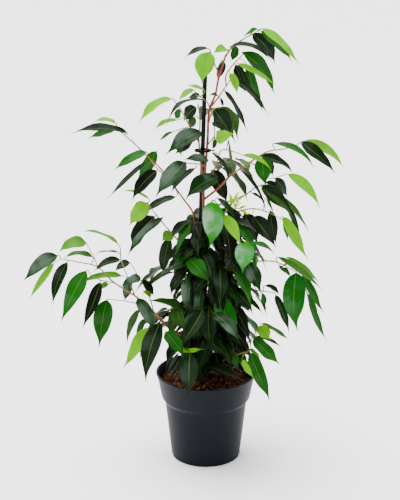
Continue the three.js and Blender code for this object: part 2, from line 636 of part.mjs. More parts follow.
function listedLeaf(row, shift) {
  const [baseX, baseZ, tipX, tipZ, width, roll, arch, baseY, tipY] = row;
  const base = place(baseX, baseZ, baseY + shift);
  const tip = place(tipX, tipZ, tipY + shift);
  return { base, tip, face: faceOf(base, tip, roll), width, arch };
}

// A shoot rises and levels out; its leaves stand left and right of it by turns.
function shootBranch(row, parentPoints) {
  const [name, parent, height, direction, length, count, spread] = row;
  const angle = THREE.MathUtils.degToRad(direction);
  const out = vec(Math.cos(angle), Math.sin(angle), 0);
  const side = vec(-Math.sin(angle), Math.cos(angle), 0);
  const level = parentPoints.reduce((best, p) => (
    Math.abs(p.z - height - RAISE) < Math.abs(best.z - height - RAISE) ? p : best));
  const points = SHOOT_REACH.map((reach, i) => level.clone()
    .addScaledVector(out, reach * length).addScaledVector(UP, SHOOT_RISE[i] * length));
  const path = smooth(points);
  const leaves = [];
  for (let j = 0; j < count; j += 1) {
    const turn = j === count - 1 ? 0 : (j % 2) * 2 - 1;
    const root = path.getPointAt(0.35 + (0.65 * j) / (count - 1));
    const base = root.clone().addScaledVector(out, 7);
    base.addScaledVector(side, 9 * turn).addScaledVector(UP, 3);
    const swing = Math.sin(2.4 * j + direction);
    const heading = out.clone().multiplyScalar(0.5).addScaledVector(side, spread * turn)
      .addScaledVector(UP, -0.6 - 0.2 * swing).normalize();
    const tip = base.clone().addScaledVector(heading, SHOOT_LEAF_LENGTH + SHOOT_LEAF_SWING * swing);
    const face = UP.clone().multiplyScalar(0.9).addScaledVector(out, 0.5);
    face.addScaledVector(heading, -face.dot(heading)).normalize();
    leaves.push({ base, tip, face, width: SHOOT_LEAF_WIDTH + 3 * swing, arch: SHOOT_LEAF_ARCH });
  }
  return { name, parent, radii: [1.6, 0.8], paths: [path], leaves };
}

function shifted(leaf, shift) {
  const move = vec(0, shift, 0);
  return { ...leaf, base: leaf.base.clone().add(move), tip: leaf.tip.clone().add(move) };
}

const grownPoints = {
  main_stem: barPoints(MAIN_STEM_PATH, MAIN_STEM_STEPS, 8),
  second_stem: barPoints(SECOND_STEM_PATH, SECOND_STEM_STEPS, 8),
};
const branches = BRANCHES.map((branch) => {
  const paths = listedWood(branch, grownPoints[branch.parent]);
  grownPoints[branch.name] = barPoints(paths[0], barSteps(paths[0]), 8);
  const leaves = branch.leaves.map((row) => (shift) => listedLeaf(row, shift));
  return { ...branch, paths, leaves };
});
for (const row of SHOOTS) {
  const branch = shootBranch(row, grownPoints[row[1]]);
  branches.push({ ...branch, leaves: branch.leaves.map((leaf) => (shift) => shifted(leaf, shift)) });
}

// ---- pot, soil, stake, ties and stems --------------------------------
const circleOf = (radius, z) => new THREE.Vector2(radius, z);

function lathe(points) {
  return toSolid(new THREE.LatheGeometry(points, ROUND_SIDES).rotateX(Math.PI / 2));
}

const BAND_FOOT_Z = POT_HEIGHT - BAND_HEIGHT;
const SHOULDER_Z = BAND_FOOT_Z - SHOULDER_DROP;
const SHOULDER_RADIUS = BAND_FOOT_RADIUS - SHOULDER_STEP;
const INSIDE_RIM_RADIUS = RIM_RADIUS - RIM_LIP - WALL;

function potSolid() {
  const outline = [
    circleOf(0, 0),
    circleOf(BASE_RADIUS - EDGE_ROUND, 0),
    circleOf(BASE_RADIUS, EDGE_ROUND),
    circleOf(BASE_RADIUS + FOOT_LINE_STEP, FOOT_LINE_HEIGHT),
    circleOf(SHOULDER_RADIUS, SHOULDER_Z),
    circleOf((SHOULDER_RADIUS + BAND_FOOT_RADIUS) / 2 + SHOULDER_BULGE, SHOULDER_Z + SHOULDER_DROP * 0.42),
    circleOf(BAND_FOOT_RADIUS, BAND_FOOT_Z),
    circleOf(RIM_RADIUS - RIM_LIP, POT_HEIGHT - LIP_HEIGHT),
    circleOf(RIM_RADIUS, POT_HEIGHT - LIP_HEIGHT + EDGE_ROUND),
    circleOf(RIM_RADIUS - LIP_CHAMFER, POT_HEIGHT),
    circleOf(INSIDE_RIM_RADIUS, POT_HEIGHT - LIP_CHAMFER),
    circleOf(BAND_FOOT_RADIUS - WALL, BAND_FOOT_Z),
    circleOf(SHOULDER_RADIUS - WALL, SHOULDER_Z),
    circleOf(BASE_RADIUS + FOOT_LINE_STEP - WALL, FOOT_LINE_HEIGHT),
    circleOf(BASE_RADIUS - WALL, FLOOR),
    circleOf(0, FLOOR),
  ];
  let pot = lathe(outline);
  for (const degrees of DRAIN_DEGREES) {
    const hole = new THREE.BoxGeometry(DRAIN_DEPTH, DRAIN_WIDTH, DRAIN_HEIGHT * 2);
    hole.translate(BASE_RADIUS, 0, 0);
    hole.rotateZ(THREE.MathUtils.degToRad(degrees));
    pot = pot.subtract(toSolid(hole));
  }
  return pot;
}

const stakeFoot = stakeAxis(SOIL_TOP - ROOTING_DEPTH);

// The stake is a straight rod with a rounded top, turned a little out of upright.
function stakeSolid(spare) {
  const radius = STAKE_RADIUS + spare;
  const rod = new THREE.LatheGeometry([
    circleOf(0, -spare),
    circleOf(radius, -spare),
    circleOf(radius, STAKE_LENGTH - STAKE_TIP),
    circleOf(radius - STAKE_TIP, STAKE_LENGTH),
    circleOf(0, STAKE_LENGTH),
  ], 12);
  rod.rotateX(Math.PI / 2);
  rod.rotateY(Math.atan(STAKE_LEAN));
  rod.translate(stakeFoot.x, stakeFoot.y, stakeFoot.z);
  return toSolid(rod);
}

const stemSolid = {
  main_stem: (spare) => bar(
    MAIN_STEM_PATH,
    MAIN_STEM_RADIUS + spare,
    MAIN_STEM_TIP_RADIUS + spare,
    STEM_SIDES,
    MAIN_STEM_STEPS,
  ),
  second_stem: (spare) => bar(
    SECOND_STEM_PATH,
    SECOND_STEM_RADIUS + spare,
    SECOND_STEM_TIP_RADIUS + spare,
    STEM_SIDES,
    SECOND_STEM_STEPS,
  ),
};

function soilSolid() {
  const upBand = (SOIL_TOP - BAND_FOOT_Z) / BAND_HEIGHT;
  const bandRadius = BAND_FOOT_RADIUS - WALL + (INSIDE_RIM_RADIUS - BAND_FOOT_RADIUS + WALL) * upBand;
  const topRadius = bandRadius - FIT;
  let soil = lathe([
    circleOf(0, FLOOR + FIT),
    circleOf(BASE_RADIUS - WALL - FIT, FLOOR + FIT),
    circleOf(SHOULDER_RADIUS - WALL - FIT, SHOULDER_Z),
    circleOf(BAND_FOOT_RADIUS - WALL - FIT, BAND_FOOT_Z),
    circleOf(topRadius, SOIL_TOP),
    circleOf(topRadius * 0.5, SOIL_TOP + SOIL_DOME * 0.7),
    circleOf(0, SOIL_TOP + SOIL_DOME),
  ]);
  for (const piece of [stemSolid.main_stem(FIT), stemSolid.second_stem(FIT), stakeSolid(FIT)]) {
    soil = soil.subtract(piece);
  }
  return soil;
}

// A tie is an oval loop round the stake and the stems beside it, with a short tail.
function tieSolid(height) {
  const centre = stakeAxis(height + RAISE);
  const stem = nearestOn(grownPoints.main_stem, centre);
  const halfWidth = STAKE_RADIUS + 2 * MAIN_STEM_RADIUS + STEM_GAP + FIT;
  const halfDepth = STAKE_RADIUS + MAIN_STEM_RADIUS + STEM_GAP + FIT;
  const middleY = (stem.y - centre.y) * 0.5;
  const outer = new THREE.Shape();
  outer.absellipse(0, middleY, halfWidth + TIE_WALL, halfDepth + TIE_WALL, 0, 2 * Math.PI);
  const hole = new THREE.Path();
  hole.absellipse(0, middleY, halfWidth, halfDepth, 0, 2 * Math.PI);
  outer.holes.push(hole);
  const shape = { depth: TIE_HEIGHT, bevelEnabled: false, curveSegments: 10 };
  const loop = new THREE.ExtrudeGeometry(outer, shape);
  const tail = new THREE.BoxGeometry(TIE_TAIL, TIE_WALL, TIE_HEIGHT);
  tail.translate(halfWidth + TIE_WALL / 2 + TIE_TAIL / 2, middleY, TIE_HEIGHT / 2);
  const solid = toSolid(loop).add(toSolid(tail));
  return solid.translate([centre.x, centre.y, centre.z - TIE_HEIGHT / 2]);
}

// ---- putting it together ---------------------------------------------
const hardware = {
  pot: potSolid(),
  soil: soilSolid(),
  stake: stakeSolid(0),
  upper_tie: tieSolid(UPPER_TIE_UP),
  lower_tie: tieSolid(LOWER_TIE_UP),
  main_stem: stemSolid.main_stem(0),
  second_stem: stemSolid.second_stem(0),
};

// Wood first: every branch is cut clear of what it grows from and of what it passes.
const woods = branches.map((branch) => {
  const [startRadius, endRadius] = branch.radii;
  const bars = branch.paths.map((path, i) => (
    bar(path, i ? startRadius * 0.8 : startRadius, endRadius, TWIG_SIDES, barSteps(path))));
  return bars.reduce((joined, next) => joined.add(next));
});
const barkOf = (name, spare) => {
  if (stemSolid[name]) return stemSolid[name](spare);
  const index = branches.findIndex((branch) => branch.name === name);
  const { paths, radii } = branches[index];
  return bar(paths[0], radii[0] + spare, radii[1] + spare, TWIG_SIDES, barSteps(paths[0]));
};
const cutWoods = woods.map((wood, i) => wood.subtract(barkOf(branches[i].parent, FIT)));

// Then leaves, one by one: each moves back or forward in small steps until it is clear
// of everything that stands there already.
const standing = [
  ...Object.values(hardware).map((solid) => standHere(solid, -1)),
  ...cutWoods.map((solid, i) => standHere(solid, i)),
];

function boxesMeet(a, b) {
  return [0, 1, 2].every((k) => (
    a.min[k] - LEAF_CLEARANCE < b.max[k] && b.min[k] - LEAF_CLEARANCE < a.max[k]));
}

function isClear(solid, against) {
  const box = solid.boundingBox();
  return against.every((other) => (
    !boxesMeet(box, other.box) || solid.minGap(other.solid, LEAF_CLEARANCE) >= LEAF_CLEARANCE));
}

function standHere(solid, owner) {
  return { solid, box: solid.boundingBox(), owner };
}

function growLeaf(makeLeaf, woodPoints, owner, blades) {
  const others = standing.filter((other) => other.owner !== owner);
  for (let attempt = 0; attempt < SHIFT_TRIES; attempt += 1) {
    const shift = Math.ceil(attempt / 2) * SHIFT_STEP * (attempt % 2 ? 1 : -1);
    const grown = leafSolids(makeLeaf(shift), woodPoints);
    if (isClear(grown.whole, others) && isClear(grown.blade, blades)) return grown;
  }
  throw new Error('no room for a leaf');
}

// Each leaf takes the nearest point of the wood that no leaf before it has taken.
const sprays = branches.map((branch, owner) => {
  const woodPoints = branch.paths.flatMap((path) => barPoints(path, barSteps(path), 3).slice(3));
  const blades = [];
  let spray = cutWoods[owner];
  for (const makeLeaf of branch.leaves) {
    const { root, blade, whole } = growLeaf(makeLeaf, woodPoints, owner, blades);
    woodPoints.splice(woodPoints.indexOf(root), 1);
    spray = spray.add(whole);
    blades.push(standHere(blade, owner));
    standing.push(standHere(whole, owner));
  }
  return spray;
});

const COLOURS = {
  pot: [0x34373b, 0.5],
  soil: [0x2a1a12, 0.95],
  stake: [0x121212, 0.5],
  upper_tie: [0x1c2420, 0.5],
  lower_tie: [0x1c2420, 0.5],
  main_stem: [0x7a4a2a, 0.75],
  second_stem: [0x6a3c26, 0.75],
  leaf: [0x2f5a22, 0.4],
};

const fig = new THREE.Group();
function show(name, solid) {
  const [color, roughness] = COLOURS[name] ?? COLOURS.leaf;
  const material = new THREE.MeshStandardMaterial({ color, roughness, metalness: 0 });
  const mesh = new THREE.Mesh(toGeometry(solid), material);
  mesh.name = name;
  fig.add(mesh);
}
for (const [name, solid] of Object.entries(hardware)) show(name, solid);
sprays.forEach((solid, i) => show(branches[i].name, solid));

export default fig;
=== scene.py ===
import math

import bpy
import numpy as np
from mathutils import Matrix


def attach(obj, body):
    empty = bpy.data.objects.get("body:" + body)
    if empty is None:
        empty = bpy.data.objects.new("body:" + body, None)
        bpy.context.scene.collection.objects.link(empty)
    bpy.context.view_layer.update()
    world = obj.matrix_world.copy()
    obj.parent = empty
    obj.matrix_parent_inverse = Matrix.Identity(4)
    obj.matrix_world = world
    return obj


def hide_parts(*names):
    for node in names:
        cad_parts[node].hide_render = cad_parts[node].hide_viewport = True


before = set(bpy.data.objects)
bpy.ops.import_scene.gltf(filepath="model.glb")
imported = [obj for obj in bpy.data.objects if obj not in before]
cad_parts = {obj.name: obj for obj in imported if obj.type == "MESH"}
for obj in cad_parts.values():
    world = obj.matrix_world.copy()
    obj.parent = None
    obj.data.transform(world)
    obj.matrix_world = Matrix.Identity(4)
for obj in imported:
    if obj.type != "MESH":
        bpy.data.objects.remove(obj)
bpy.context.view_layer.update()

# A young weeping fig in a nursery pot, in metres, +Z up, front towards -Y. Lengths in the
# tables and in the named sizes are millimetres, and put_mesh turns them into metres.
MM = 0.001
COLOUR_DEPTH = 0.62
SKY = np.array([0, 0, 1.0])
rng = np.random.default_rng(41)

# ---- sizes, the same as the solid model's -----------------------------------------
POT_HEIGHT, RIM_RADIUS, BASE_RADIUS = 152, 85, 59
BAND_FOOT_Z, BAND_FOOT_RADIUS = 109, 75.5
SHOULDER_Z, SHOULDER_RADIUS = 98, 69.5
FOOT_LINE_Z, FOOT_LINE_STEP = 12, 0.8
DRAIN_DEGREES, DRAIN_WIDTH, DRAIN_HEIGHT, DRAIN_DEPTH = (-12, 56, 124, 192), 11, 6, 9
RIM_LIP, WALL, FLOOR = 1.6, 1.8, 2.4
SOIL_TOP, SOIL_RADIUS, SOIL_DOME = 135, 78.1, 2
ROOTING_DEPTH = 55
STAKE_RADIUS, STAKE_LENGTH, STAKE_LEAN, STAKE_FOOT_X = 3.7, 586, 0.0304, -19.5
MAIN_STEM_RADII = (3.8, 1.5)
SECOND_STEM_RADII = (2.8, 1.0)
STEM_GAP = 0.5
TIE_HEIGHTS = {"upper_tie": 536, "lower_tie": 392}
TIE_CLEARANCE, TIE_HALF_THICKNESS = 0.35, 0.7
# The point that the front elevation is seen from, where the camera stands.
SIGHT = np.array([-10.0, -2000.0, 986.0])

# ---- branches -----------------------------------------------------------------------
# The same tables as the solid model's: name, parent, radii, tones, wood and leaves. Wood is
# paths of (x, z, y), and a leaf is
# (base x, base z, tip x, tip z, width, roll, arch, base y, tip y). Tones name each leaf's
# colour in order: K near black, D dark, M mid green, O olive, B bright, L pale green,
# G dark with a painted grey-white sheen, W bright with a painted white sheen, P pale underside,
# Y young yellow, F mid green seen square on.
BRANCHES = [
    ("crown_spray", "main_stem", (1.5, 0.8), "BMDDMMB",
     [[(30, 688, -8), (41, 702, -10), (66, 719, -13), (83, 728, -15)]],
     [(87, 731, 147, 672, 19, 50, 0.22, -18, -30), (86, 727, 138, 680, 18, 35, 0.16, -8, 2),
      (37, 702, 104, 677, 16, 62, 0.32, -22, -38), (72, 722, 110, 676, 24, 30, 0.2, 4, 20),
      (80, 730, 58, 717, 12, 60, 0.15, 4, 18), (46, 704, 40, 679, 14, 20, 0.1, 6, 14),
      (32, 698, 11, 692, 18, 40, 0.12, -14, -34)]),
    ("crown_left_spray", "main_stem", (1.2, 0.8), "DBD",
     [[(20, 655, -7), (16, 668, -10), (9, 686, -12)]],
     [(2, 700, -36, 681, 13, 55, 0.25, -4, 12), (4, 694, -8, 644, 31, 8, 0.08, -14, -26),
      (26, 680, 18, 650, 15, 30, 0.12, 14, 34)]),
    ("right_leader", "main_stem", (1.6, 0.8), "MBDMBDDDMD",
     [[(9, 607, -5), (21, 624, -9), (27, 634, -12), (34, 643, -14), (39, 652, -16)],
      [(30, 641, -13), (31, 656, -16), (42, 674, -18), (58, 690, -18)]],
     [(57, 694, 107, 625, 25, 38, 0.24, -10, 8), (50, 676, 112, 640, 14, 50, 0.14, -28, -44),
      (41, 653, 100, 592, 15, 45, 0.2, -26, -44), (64, 674, 91, 600, 18, 22, 0.1, 4, 24),
      (38, 660, 50, 627, 14, 20, 0.1, -34, -50), (46, 674, 62, 630, 21, 25, 0.15, -4, 16),
      (53, 668, 72, 623, 14, 30, 0.12, -16, -6), (29, 633, 67, 561, 13, 50, 0.2, -22, -46),
      (19, 624, 4, 626, 8, 50, 0.12, -16, -26), (22, 621, 28, 606, 6, 30, 0.1, -4, 4)]),
    ("crown_side_spray", "main_stem", (1.1, 0.8), "DBBD",
     [[(7, 597, -6), (3, 612, -11), (-5, 620, -12), (-16, 626, -12)]],
     [(-2, 617, -64, 574, 14, 66, 0.42, -20, -48), (-3, 633, -35, 641, 11, 60, 0.14, -16, -8),
      (-20, 634, -46, 615, 14, 50, 0.15, -12, 4), (-10, 624, -30, 621, 12, 40, 0.1, 2, 18)]),
    ("left_leader", "main_stem", (2.1, 0.9), "BBMDOGMKO",
     [[(-4, 476, -7), (-7, 503, -12), (-10, 530, -8), (-12, 556, -8), (-10, 580, -9), (-13, 612, -7)],
      [(-12, 548, -11), (-17, 558, -15), (-28, 578, -18), (-35, 592, -19), (-45, 608, -20)]],
     [(-56, 620, -109, 577, 18, 42, 0.22, -22, -34), (-48, 585, -86, 567, 11, 48, 0.2, -10, 0),
      (-42, 603, -50, 586, 12, 20, 0.1, -8, 4), (-16, 606, -37, 584, 22, 25, 0.12, 4, 20),
      (-18, 590, -24, 572, 14, 15, 0.1, 16, 34), (-8, 566, -64, 528, 30, 30, 0.16, -26, -52),
      (-54, 566, -77, 550, 8, 50, 0.12, 0, 16), (-20, 556, -50, 530, 21, 28, 0.15, 0, 12),
      (-42, 548, -40, 527, 13, 10, 0.1, -22, -34)]),
    ("centre_left_spray", "main_stem", (1.4, 0.8), "GGD",
     [[(0, 508, -8), (-7, 512, -23), (-20, 514, -26), (-32, 514, -26)]],
     [(3, 520, -38, 520, 21, 50, 0.2, -30, -52), (-34, 516, -83, 459, 33, 32, 0.15, -30, -56),
      (-18, 506, -58, 461, 14, 46, 0.34, -14, -6)]),
    ("centre_right_spray", "main_stem", (1.3, 0.8), "BDPGK",
     [[(0, 484, -7), (9, 495, -14), (19, 521, -20), (25, 536, -22), (42, 534, -24), (54, 530, -26)]],
     [(59, 528, 107, 503, 11, 40, 0.22, -30, -48), (10, 531, 39, 483, 10, 48, 0.2, -24, -38),
      (36, 552, 49, 476, 8, 55, -0.08, -14, -6), (17, 490, -34, 455, 32, 28, 0.14, -30, -58),
      (9, 503, 36, 450, 27, 25, 0.14, 0, 14)]),
    ("upper_right_spray", "main_stem", (1.2, 0.8), "BDDM",
     [[(3, 545, -6), (8, 552, -12), (13, 560, -14), (12, 585, -12)]],
     [(16, 556, 46, 565, 22, 14, 0.1, -24, -46), (13, 602, 40, 562, 30, 22, 0.18, -8, 10),
      (10, 580, 27, 568, 11, 30, 0.1, -22, -34), (14, 555, 10, 537, 8, 10, 0.1, 4, 14)]),
    ("right_branch", "main_stem", (2.0, 0.8), "MBDDD",
     [[(0, 452, -8), (20, 473, -14), (41, 495, -18), (64, 511, -20), (98, 533, -22), (129, 539, -22),
       (150, 547, -22)]],
     [(109, 547, 178, 504, 16, 52, 0.27, -34, -56), (157, 551, 224, 504, 19, 42, 0.28, -18, -6),
      (153, 549, 211, 500, 22, 32, 0.2, -28, -44), (88, 526, 142, 498, 18, 46, 0.28, -12, 6),
      (54, 504, 100, 425, 10, 55, 0.28, -26, -46)]),
    ("right_under_spray", "right_branch", (1.1, 0.7), "MDBD",
     [[(72, 515, -20), (88, 505, -8), (104, 489, -2), (124, 494, 0)]],
     [(91, 524, 96, 477, 28, 8, 0.06, -20, -34), (97, 521, 108, 492, 13, 20, 0.1, 12, 30),
      (133, 496, 187, 440, 21, 38, 0.18, 0, -8), (112, 489, 132, 458, 18, 32, 0.14, 12, 30)]),
    ("right_middle_spray", "main_stem", (1.7, 0.8), "GDPODD",
     [[(-2, 436, -8), (30, 448, -2), (66, 463, 2), (82, 475, 2), (95, 478, 0), (118, 462, 0)]],
     [(97, 483, 127, 456, 18, 42, 0.18, 10, 26), (90, 476, 146, 428, 26, 30, 0.14, -14, -30),
      (122, 460, 172, 396, 13, 58, 0.1, -2, 6), (97, 465, 148, 416, 11, 42, 0.1, -34, -54),
      (128, 452, 156, 379, 10, 20, 0.08, 8, 26), (74, 465, 96, 448, 6, 40, 0.1, -10, -20)]),
    ("right_lower_spray", "main_stem", (1.7, 0.8), "BMDDKM",
     [[(-3, 412, -8), (30, 422, -4), (52, 433, -2), (80, 438, -2), (108, 429, -4), (122, 421, -6)]],
     [(126, 424, 168, 350, 21, 32, 0.15, -16, -34), (127, 417, 134, 383, 10, 18, 0.06, 0, 6),
      (78, 425, 117, 373, 27, 22, 0.12, -18, -36), (105, 435, 117, 378, 18, 14, 0.1, 8, 22),
      (62, 430, 84, 378, 28, 14, 0.1, 16, 36), (98, 456, 111, 430, 6, 40, 0.1, 12, 20)]),
    ("young_tuft", "main_stem", (1.3, 0.6), "YYYYYYYY",
     [[(-3, 420, -8), (25, 430, -24), (40, 438, -28), (53, 450, -30)],
      [(40, 438, -28), (54, 438, -32), (62, 434, -34)]],
     [(40, 442, 37, 468, 8, 20, 0.1, -34, -44), (45, 446, 57, 470, 7, 30, 0.12, -38, -50),
      (52, 452, 70, 463, 7, 40, 0.16, -26, -22), (46, 438, 60, 450, 6, 40, 0.16, -44, -58),
      (54, 438, 68, 443, 6, 40, 0.16, -28, -20), (58, 434, 70, 427, 7, 30, 0.12, -40, -50),
      (34, 434, 33, 456, 7, 20, 0.12, -22, -14), (48, 444, 48, 466, 6, 60, 0.12, -24, -16)]),
    ("front_middle_spray", "main_stem", (1.5, 0.8), "WBGD",
     [[(-3, 424, -9), (4, 438, -26), (12, 452, -38), (26, 436, -44)]],
     [(9, 450, 8, 371, 35, 6, 0.1, -58, -78), (29, 427, 57, 374, 20, 18, 0.1, -50, -74),
      (18, 456, 49, 417, 13, 46, 0.16, -34, -52), (34, 440, 60, 399, 19, 20, 0.12, -18, -10)]),
    ("front_right_spray", "main_stem", (1.6, 0.8), "WMGD",
     [[(0, 340, -10), (30, 356, -32), (54, 374, -46), (66, 381, -52)]],
     [(68, 380, 60, 328, 32, 8, 0.1, -62, -84), (70, 379, 116, 357, 11, 46, 0.3, -54, -66),
      (68, 346, 92, 292, 26, 22, 0.12, -40, -58), (44, 366, 30, 326, 22, 30, 0.14, -30, -44)]),
    ("right_low_branch", "main_stem", (2.0, 0.8), "FPLMMMGM",
     [[(3, 312, -8), (40, 333, -14), (76, 346, -18), (114, 347, -20), (139, 335, -24), (149, 329, -26)],
      [(128, 341, -22), (140, 344, -10), (156, 332, -2), (166, 300, 2)]],
     [(150, 328, 152, 226, 38, 5, 0.07, -34, -52), (119, 355, 198, 296, 15, 46, 0.14, -32, -44),
      (134, 355, 190, 308, 13, 38, 0.18, -8, 4), (160, 326, 198, 254, 16, 32, 0.1, -14, -30),
      (170, 290, 191, 244, 12, 28, 0.06, 12, 26), (172, 280, 203, 206, 12, 24, 0.06, -8, 0),
      (121, 339, 131, 327, 7, 30, 0.1, -10, 0), (128, 337, 142, 320, 9, 30, 0.1, -38, -48)]),
    ("right_low_spray", "main_stem", (1.5, 0.8), "DDDMDM",
     [[(3, 262, -8), (30, 280, -14), (62, 297, -18), (91, 296, -16), (116, 292, -14)]],
     [(99, 305, 124, 287, 12, 46, 0.2, -24, -34), (116, 289, 143, 219, 15, 26, 0.08, -18, -30),
      (62, 291, 98, 254, 10, 36, 0.08, -28, -40), (83, 297, 90, 277, 7, 18, 0.06, -6, 2),
      (42, 300, 80, 256, 25, 22, 0.12, -26, -44), (94, 292, 96, 262, 10, 20, 0.06, 0, 12)]),
    ("front_low_spray", "main_stem", (1.5, 0.8), "FKKDD",
     [[(3, 250, -8), (12, 268, -34), (21, 284, -54)],
      [(10, 262, -28), (28, 262, -42), (46, 262, -46)]],
     [(22, 284, 54, 212, 33, 16, 0.1, -66, -86), (52, 258, 73, 213, 17, 18, 0.08, -50, -60),
      (32, 238, 72, 190, 28, 22, 0.12, -46, -58), (2, 262, 14, 206, 24, 16, 0.1, -44, -58),
      (26, 300, 30, 256, 22, 20, 0.1, -36, -40)]),
    ("right_foot_spray", "main_stem", (1.4, 0.8), "BPMDK",
     [[(2, 186, -8), (38, 196, -22), (68, 201, -30), (77, 211, -32), (90, 232, -32)]],
     [(91, 233, 109, 208, 22, 14, 0.12, -36, -46), (94, 238, 143, 205, 11, 48, 0.2, -26, -18),
      (80, 211, 127, 163, 25, 28, 0.1, -40, -52), (84, 214, 132, 191, 8, 40, 0.12, -18, -10),
      (42, 205, 70, 172, 22, 22, 0.12, -38, -48)]),
    ("rim_right_spray", "main_stem", (1.4, 0.8), "MBBMD",
     [[(2, 160, -8), (34, 172, -34), (60, 184, -52), (73, 188, -60)]],
     [(75, 185, 113, 97, 24, 16, 0.1, -66, -86), (74, 192, 93, 171, 9, 38, 0.2, -50, -44),
      (62, 172, 82, 138, 11, 18, 0.08, -76, -92), (40, 188, 54, 156, 14, 16, 0.1, -60, -72),
      (-2, 214, 36, 179, 27, 28, 0.14, -62, -76)]),
    ("pot_front_spray", "main_stem", (1.5, 0.8), "MBDDD",
     [[(2, 172, -10), (-10, 184, -34), (-24, 190, -56), (-46, 196, -62), (-60, 212, -60)],
      [(-10, 184, -34), (-12, 176, -48), (-11, 168, -56)]],
     [(-68, 223, -36, 178, 25, 18, 0.12, -66, -84), (-44, 189, -2, 193, 11, 46, -0.08, -60, -74),
      (-27, 183, -28, 106, 31, 6, 0.1, -82, -96), (-46, 184, -67, 145, 8, 30, 0.06, -58, -50),
      (-12, 162, 68, 130, 24, 52, 0.08, -60, -60)]),
    ("low_left_branch", "main_stem", (2.3, 0.9), "GBDP",
     [[(2, 192, -8), (-20, 206, -20), (-61, 229, -24), (-90, 259, -24), (-115, 284, -22),
       (-155, 312, -20), (-180, 338, -18), (-211, 346, -18), (-240, 352, -20)]],
     [(-246, 358, -304, 312, 27, 34, 0.16, -30, -46), (-252, 344, -297, 281, 13, 26, 0.1, -8, 0),
      (-230, 346, -257, 270, 20, 22, 0.08, -22, -32), (-188, 355, -239, 350, 13, 50, 0.32, -6, 4)]),
    ("low_left_upper_spray", "low_left_branch", (1.0, 0.7), "L",
     [[(-178, 337, -18), (-187, 358, -14), (-197, 377, -12)]],
     [(-198, 380, -245, 364, 24, 36, 0.34, -16, -26)]),
    ("low_left_middle_spray", "low_left_branch", (1.2, 0.7), "DLMGGL",
     [[(-118, 287, -22), (-126, 309, -30), (-136, 335, -34), (-141, 351, -34)]],
     [(-142, 350, -187, 329, 17, 42, 0.2, -40, -52), (-145, 377, -212, 400, 14, 70, 0.2, -30, -18),
      (-145, 363, -187, 361, 9, 70, 0.12, -22, -12), (-109, 320, -143, 305, 18, 32, 0.15, -44, -56),
      (-129, 318, -137, 278, 17, 14, 0.1, -14, -6), (-140, 322, -214, 308, 14, 38, 0.12, -20, -8)]),
    ("low_left_inner_spray", "low_left_branch", (1.1, 0.7), "BDD",
     [[(-86, 255, -24), (-93, 280, -12), (-107, 311, -6), (-125, 344, -4)]],
     [(-92, 287, -107, 297, 9, 30, 0.1, -18, -22), (-126, 345, -152, 330, 16, 36, 0.16, 4, 18),
      (-106, 314, -86, 288, 16, 30, 0.14, 8, 24)]),
    ("low_left_hanging_spray", "low_left_branch", (1.0, 0.7), "MKL",
     [[(-150, 309, -20), (-162, 312, -28), (-176, 315, -32), (-190, 322, -34)]],
     [(-199, 331, -242, 241, 29, 22, 0.1, -38, -54), (-176, 311, -209, 230, 21, 22, 0.08, -44, -62),
      (-162, 308, -185, 296, 11, 30, 0.1, -14, -4)]),
    ("low_left_light_spray", "low_left_branch", (1.1, 0.7), "MOO",
     [[(-100, 270, -24), (-112, 273, -30), (-138, 278, -36), (-160, 281, -38)]],
     [(-166, 280, -180, 196, 31, 4, 0.06, -42, -58), (-111, 264, -134, 200, 13, 26, 0.1, -14, -4),
      (-103, 246, -119, 217, 11, 18, 0.08, -2, 10)]),
    ("left_foot_spray", "low_left_branch", (1.3, 0.8), "OGDBDDO",
     [[(-56, 226, -24), (-70, 240, -36), (-92, 264, -44), (-112, 280, -46)]],
     [(-36, 260, -98, 281, 28, 62, 0.12, -44, -50), (-115, 282, -88, 223, 22, 16, 0.1, -56, -72),
      (-77, 240, -104, 132, 31, 16, 0.08, -44, -62), (-97, 230, -139, 156, 24, 26, 0.1, -30, -40),
      (-97, 216, -113, 174, 13, 14, 0.06, -22, -16), (-58, 214, -57, 182, 11, 14, 0.06, -30, -36),
      (-48, 262, -36, 226, 22, 16, 0.1, -56, -68)]),
    ("middle_left_branch", "second_stem", (1.7, 0.8), "BLGKLD",
     [[(-17, 350, -2), (-36, 372, -10), (-68, 410, -14), (-88, 436, -14), (-95, 446, -14)]],
     [(-97, 448, -128, 411, 28, 16, 0.1, -20, -30), (-93, 454, -142, 468, 8, 56, 0.26, -8, 2),
      (-71, 422, -133, 355, 17, 40, 0.18, -30, -50), (-84, 425, -122, 362, 30, 30, 0.14, -4, 8),
      (-58, 397, -73, 383, 20, 8, 0.12, -24, -34), (-60, 388, -72, 321, 21, 16, 0.08, -6, 2)]),
    ("inner_left_spray", "second_stem", (1.5, 0.8), "DDGMDG",
     [[(-16, 322, -2), (-24, 344, -18), (-24, 362, -30)],
      [(-22, 340, -16), (-32, 336, -34), (-34, 332, -44)]],
     [(-12, 378, -66, 347, 27, 34, 0.2, -24, -30), (-22, 368, -39, 351, 15, 28, 0.12, -44, -54),
      (-27, 343, -100, 308, 13, 52, 0.22, -42, -54), (-29, 352, 5, 310, 28, 16, 0.12, -50, -70),
      (-34, 333, -60, 288, 20, 26, 0.28, -34, -40), (-32, 320, -31, 257, 16, 12, 0.06, -56, -66)]),
    ("inner_low_spray", "second_stem", (1.4, 0.8), "GDODD",
     [[(-20, 250, -2), (-20, 280, -24), (-12, 300, -36)],
      [(-20, 262, -12), (-34, 268, -24), (-44, 270, -28)]],
     [(-8, 300, -14, 241, 17, 12, 0.06, -48, -58), (-24, 300, -20, 240, 20, 14, 0.08, -32, -38),
      (-46, 270, -64, 214, 22, 18, 0.1, -26, -26), (-16, 246, -12, 198, 22, 14, 0.1, -30, -44),
      (10, 316, 8, 262, 20, 16, 0.08, -34, -44)]),
    ("upper_left_tip_spray", "second_stem", (1.1, 0.7), "BDM",
     [[(-119, 550, -12), (-133, 562, -14), (-144, 572, -14)]],
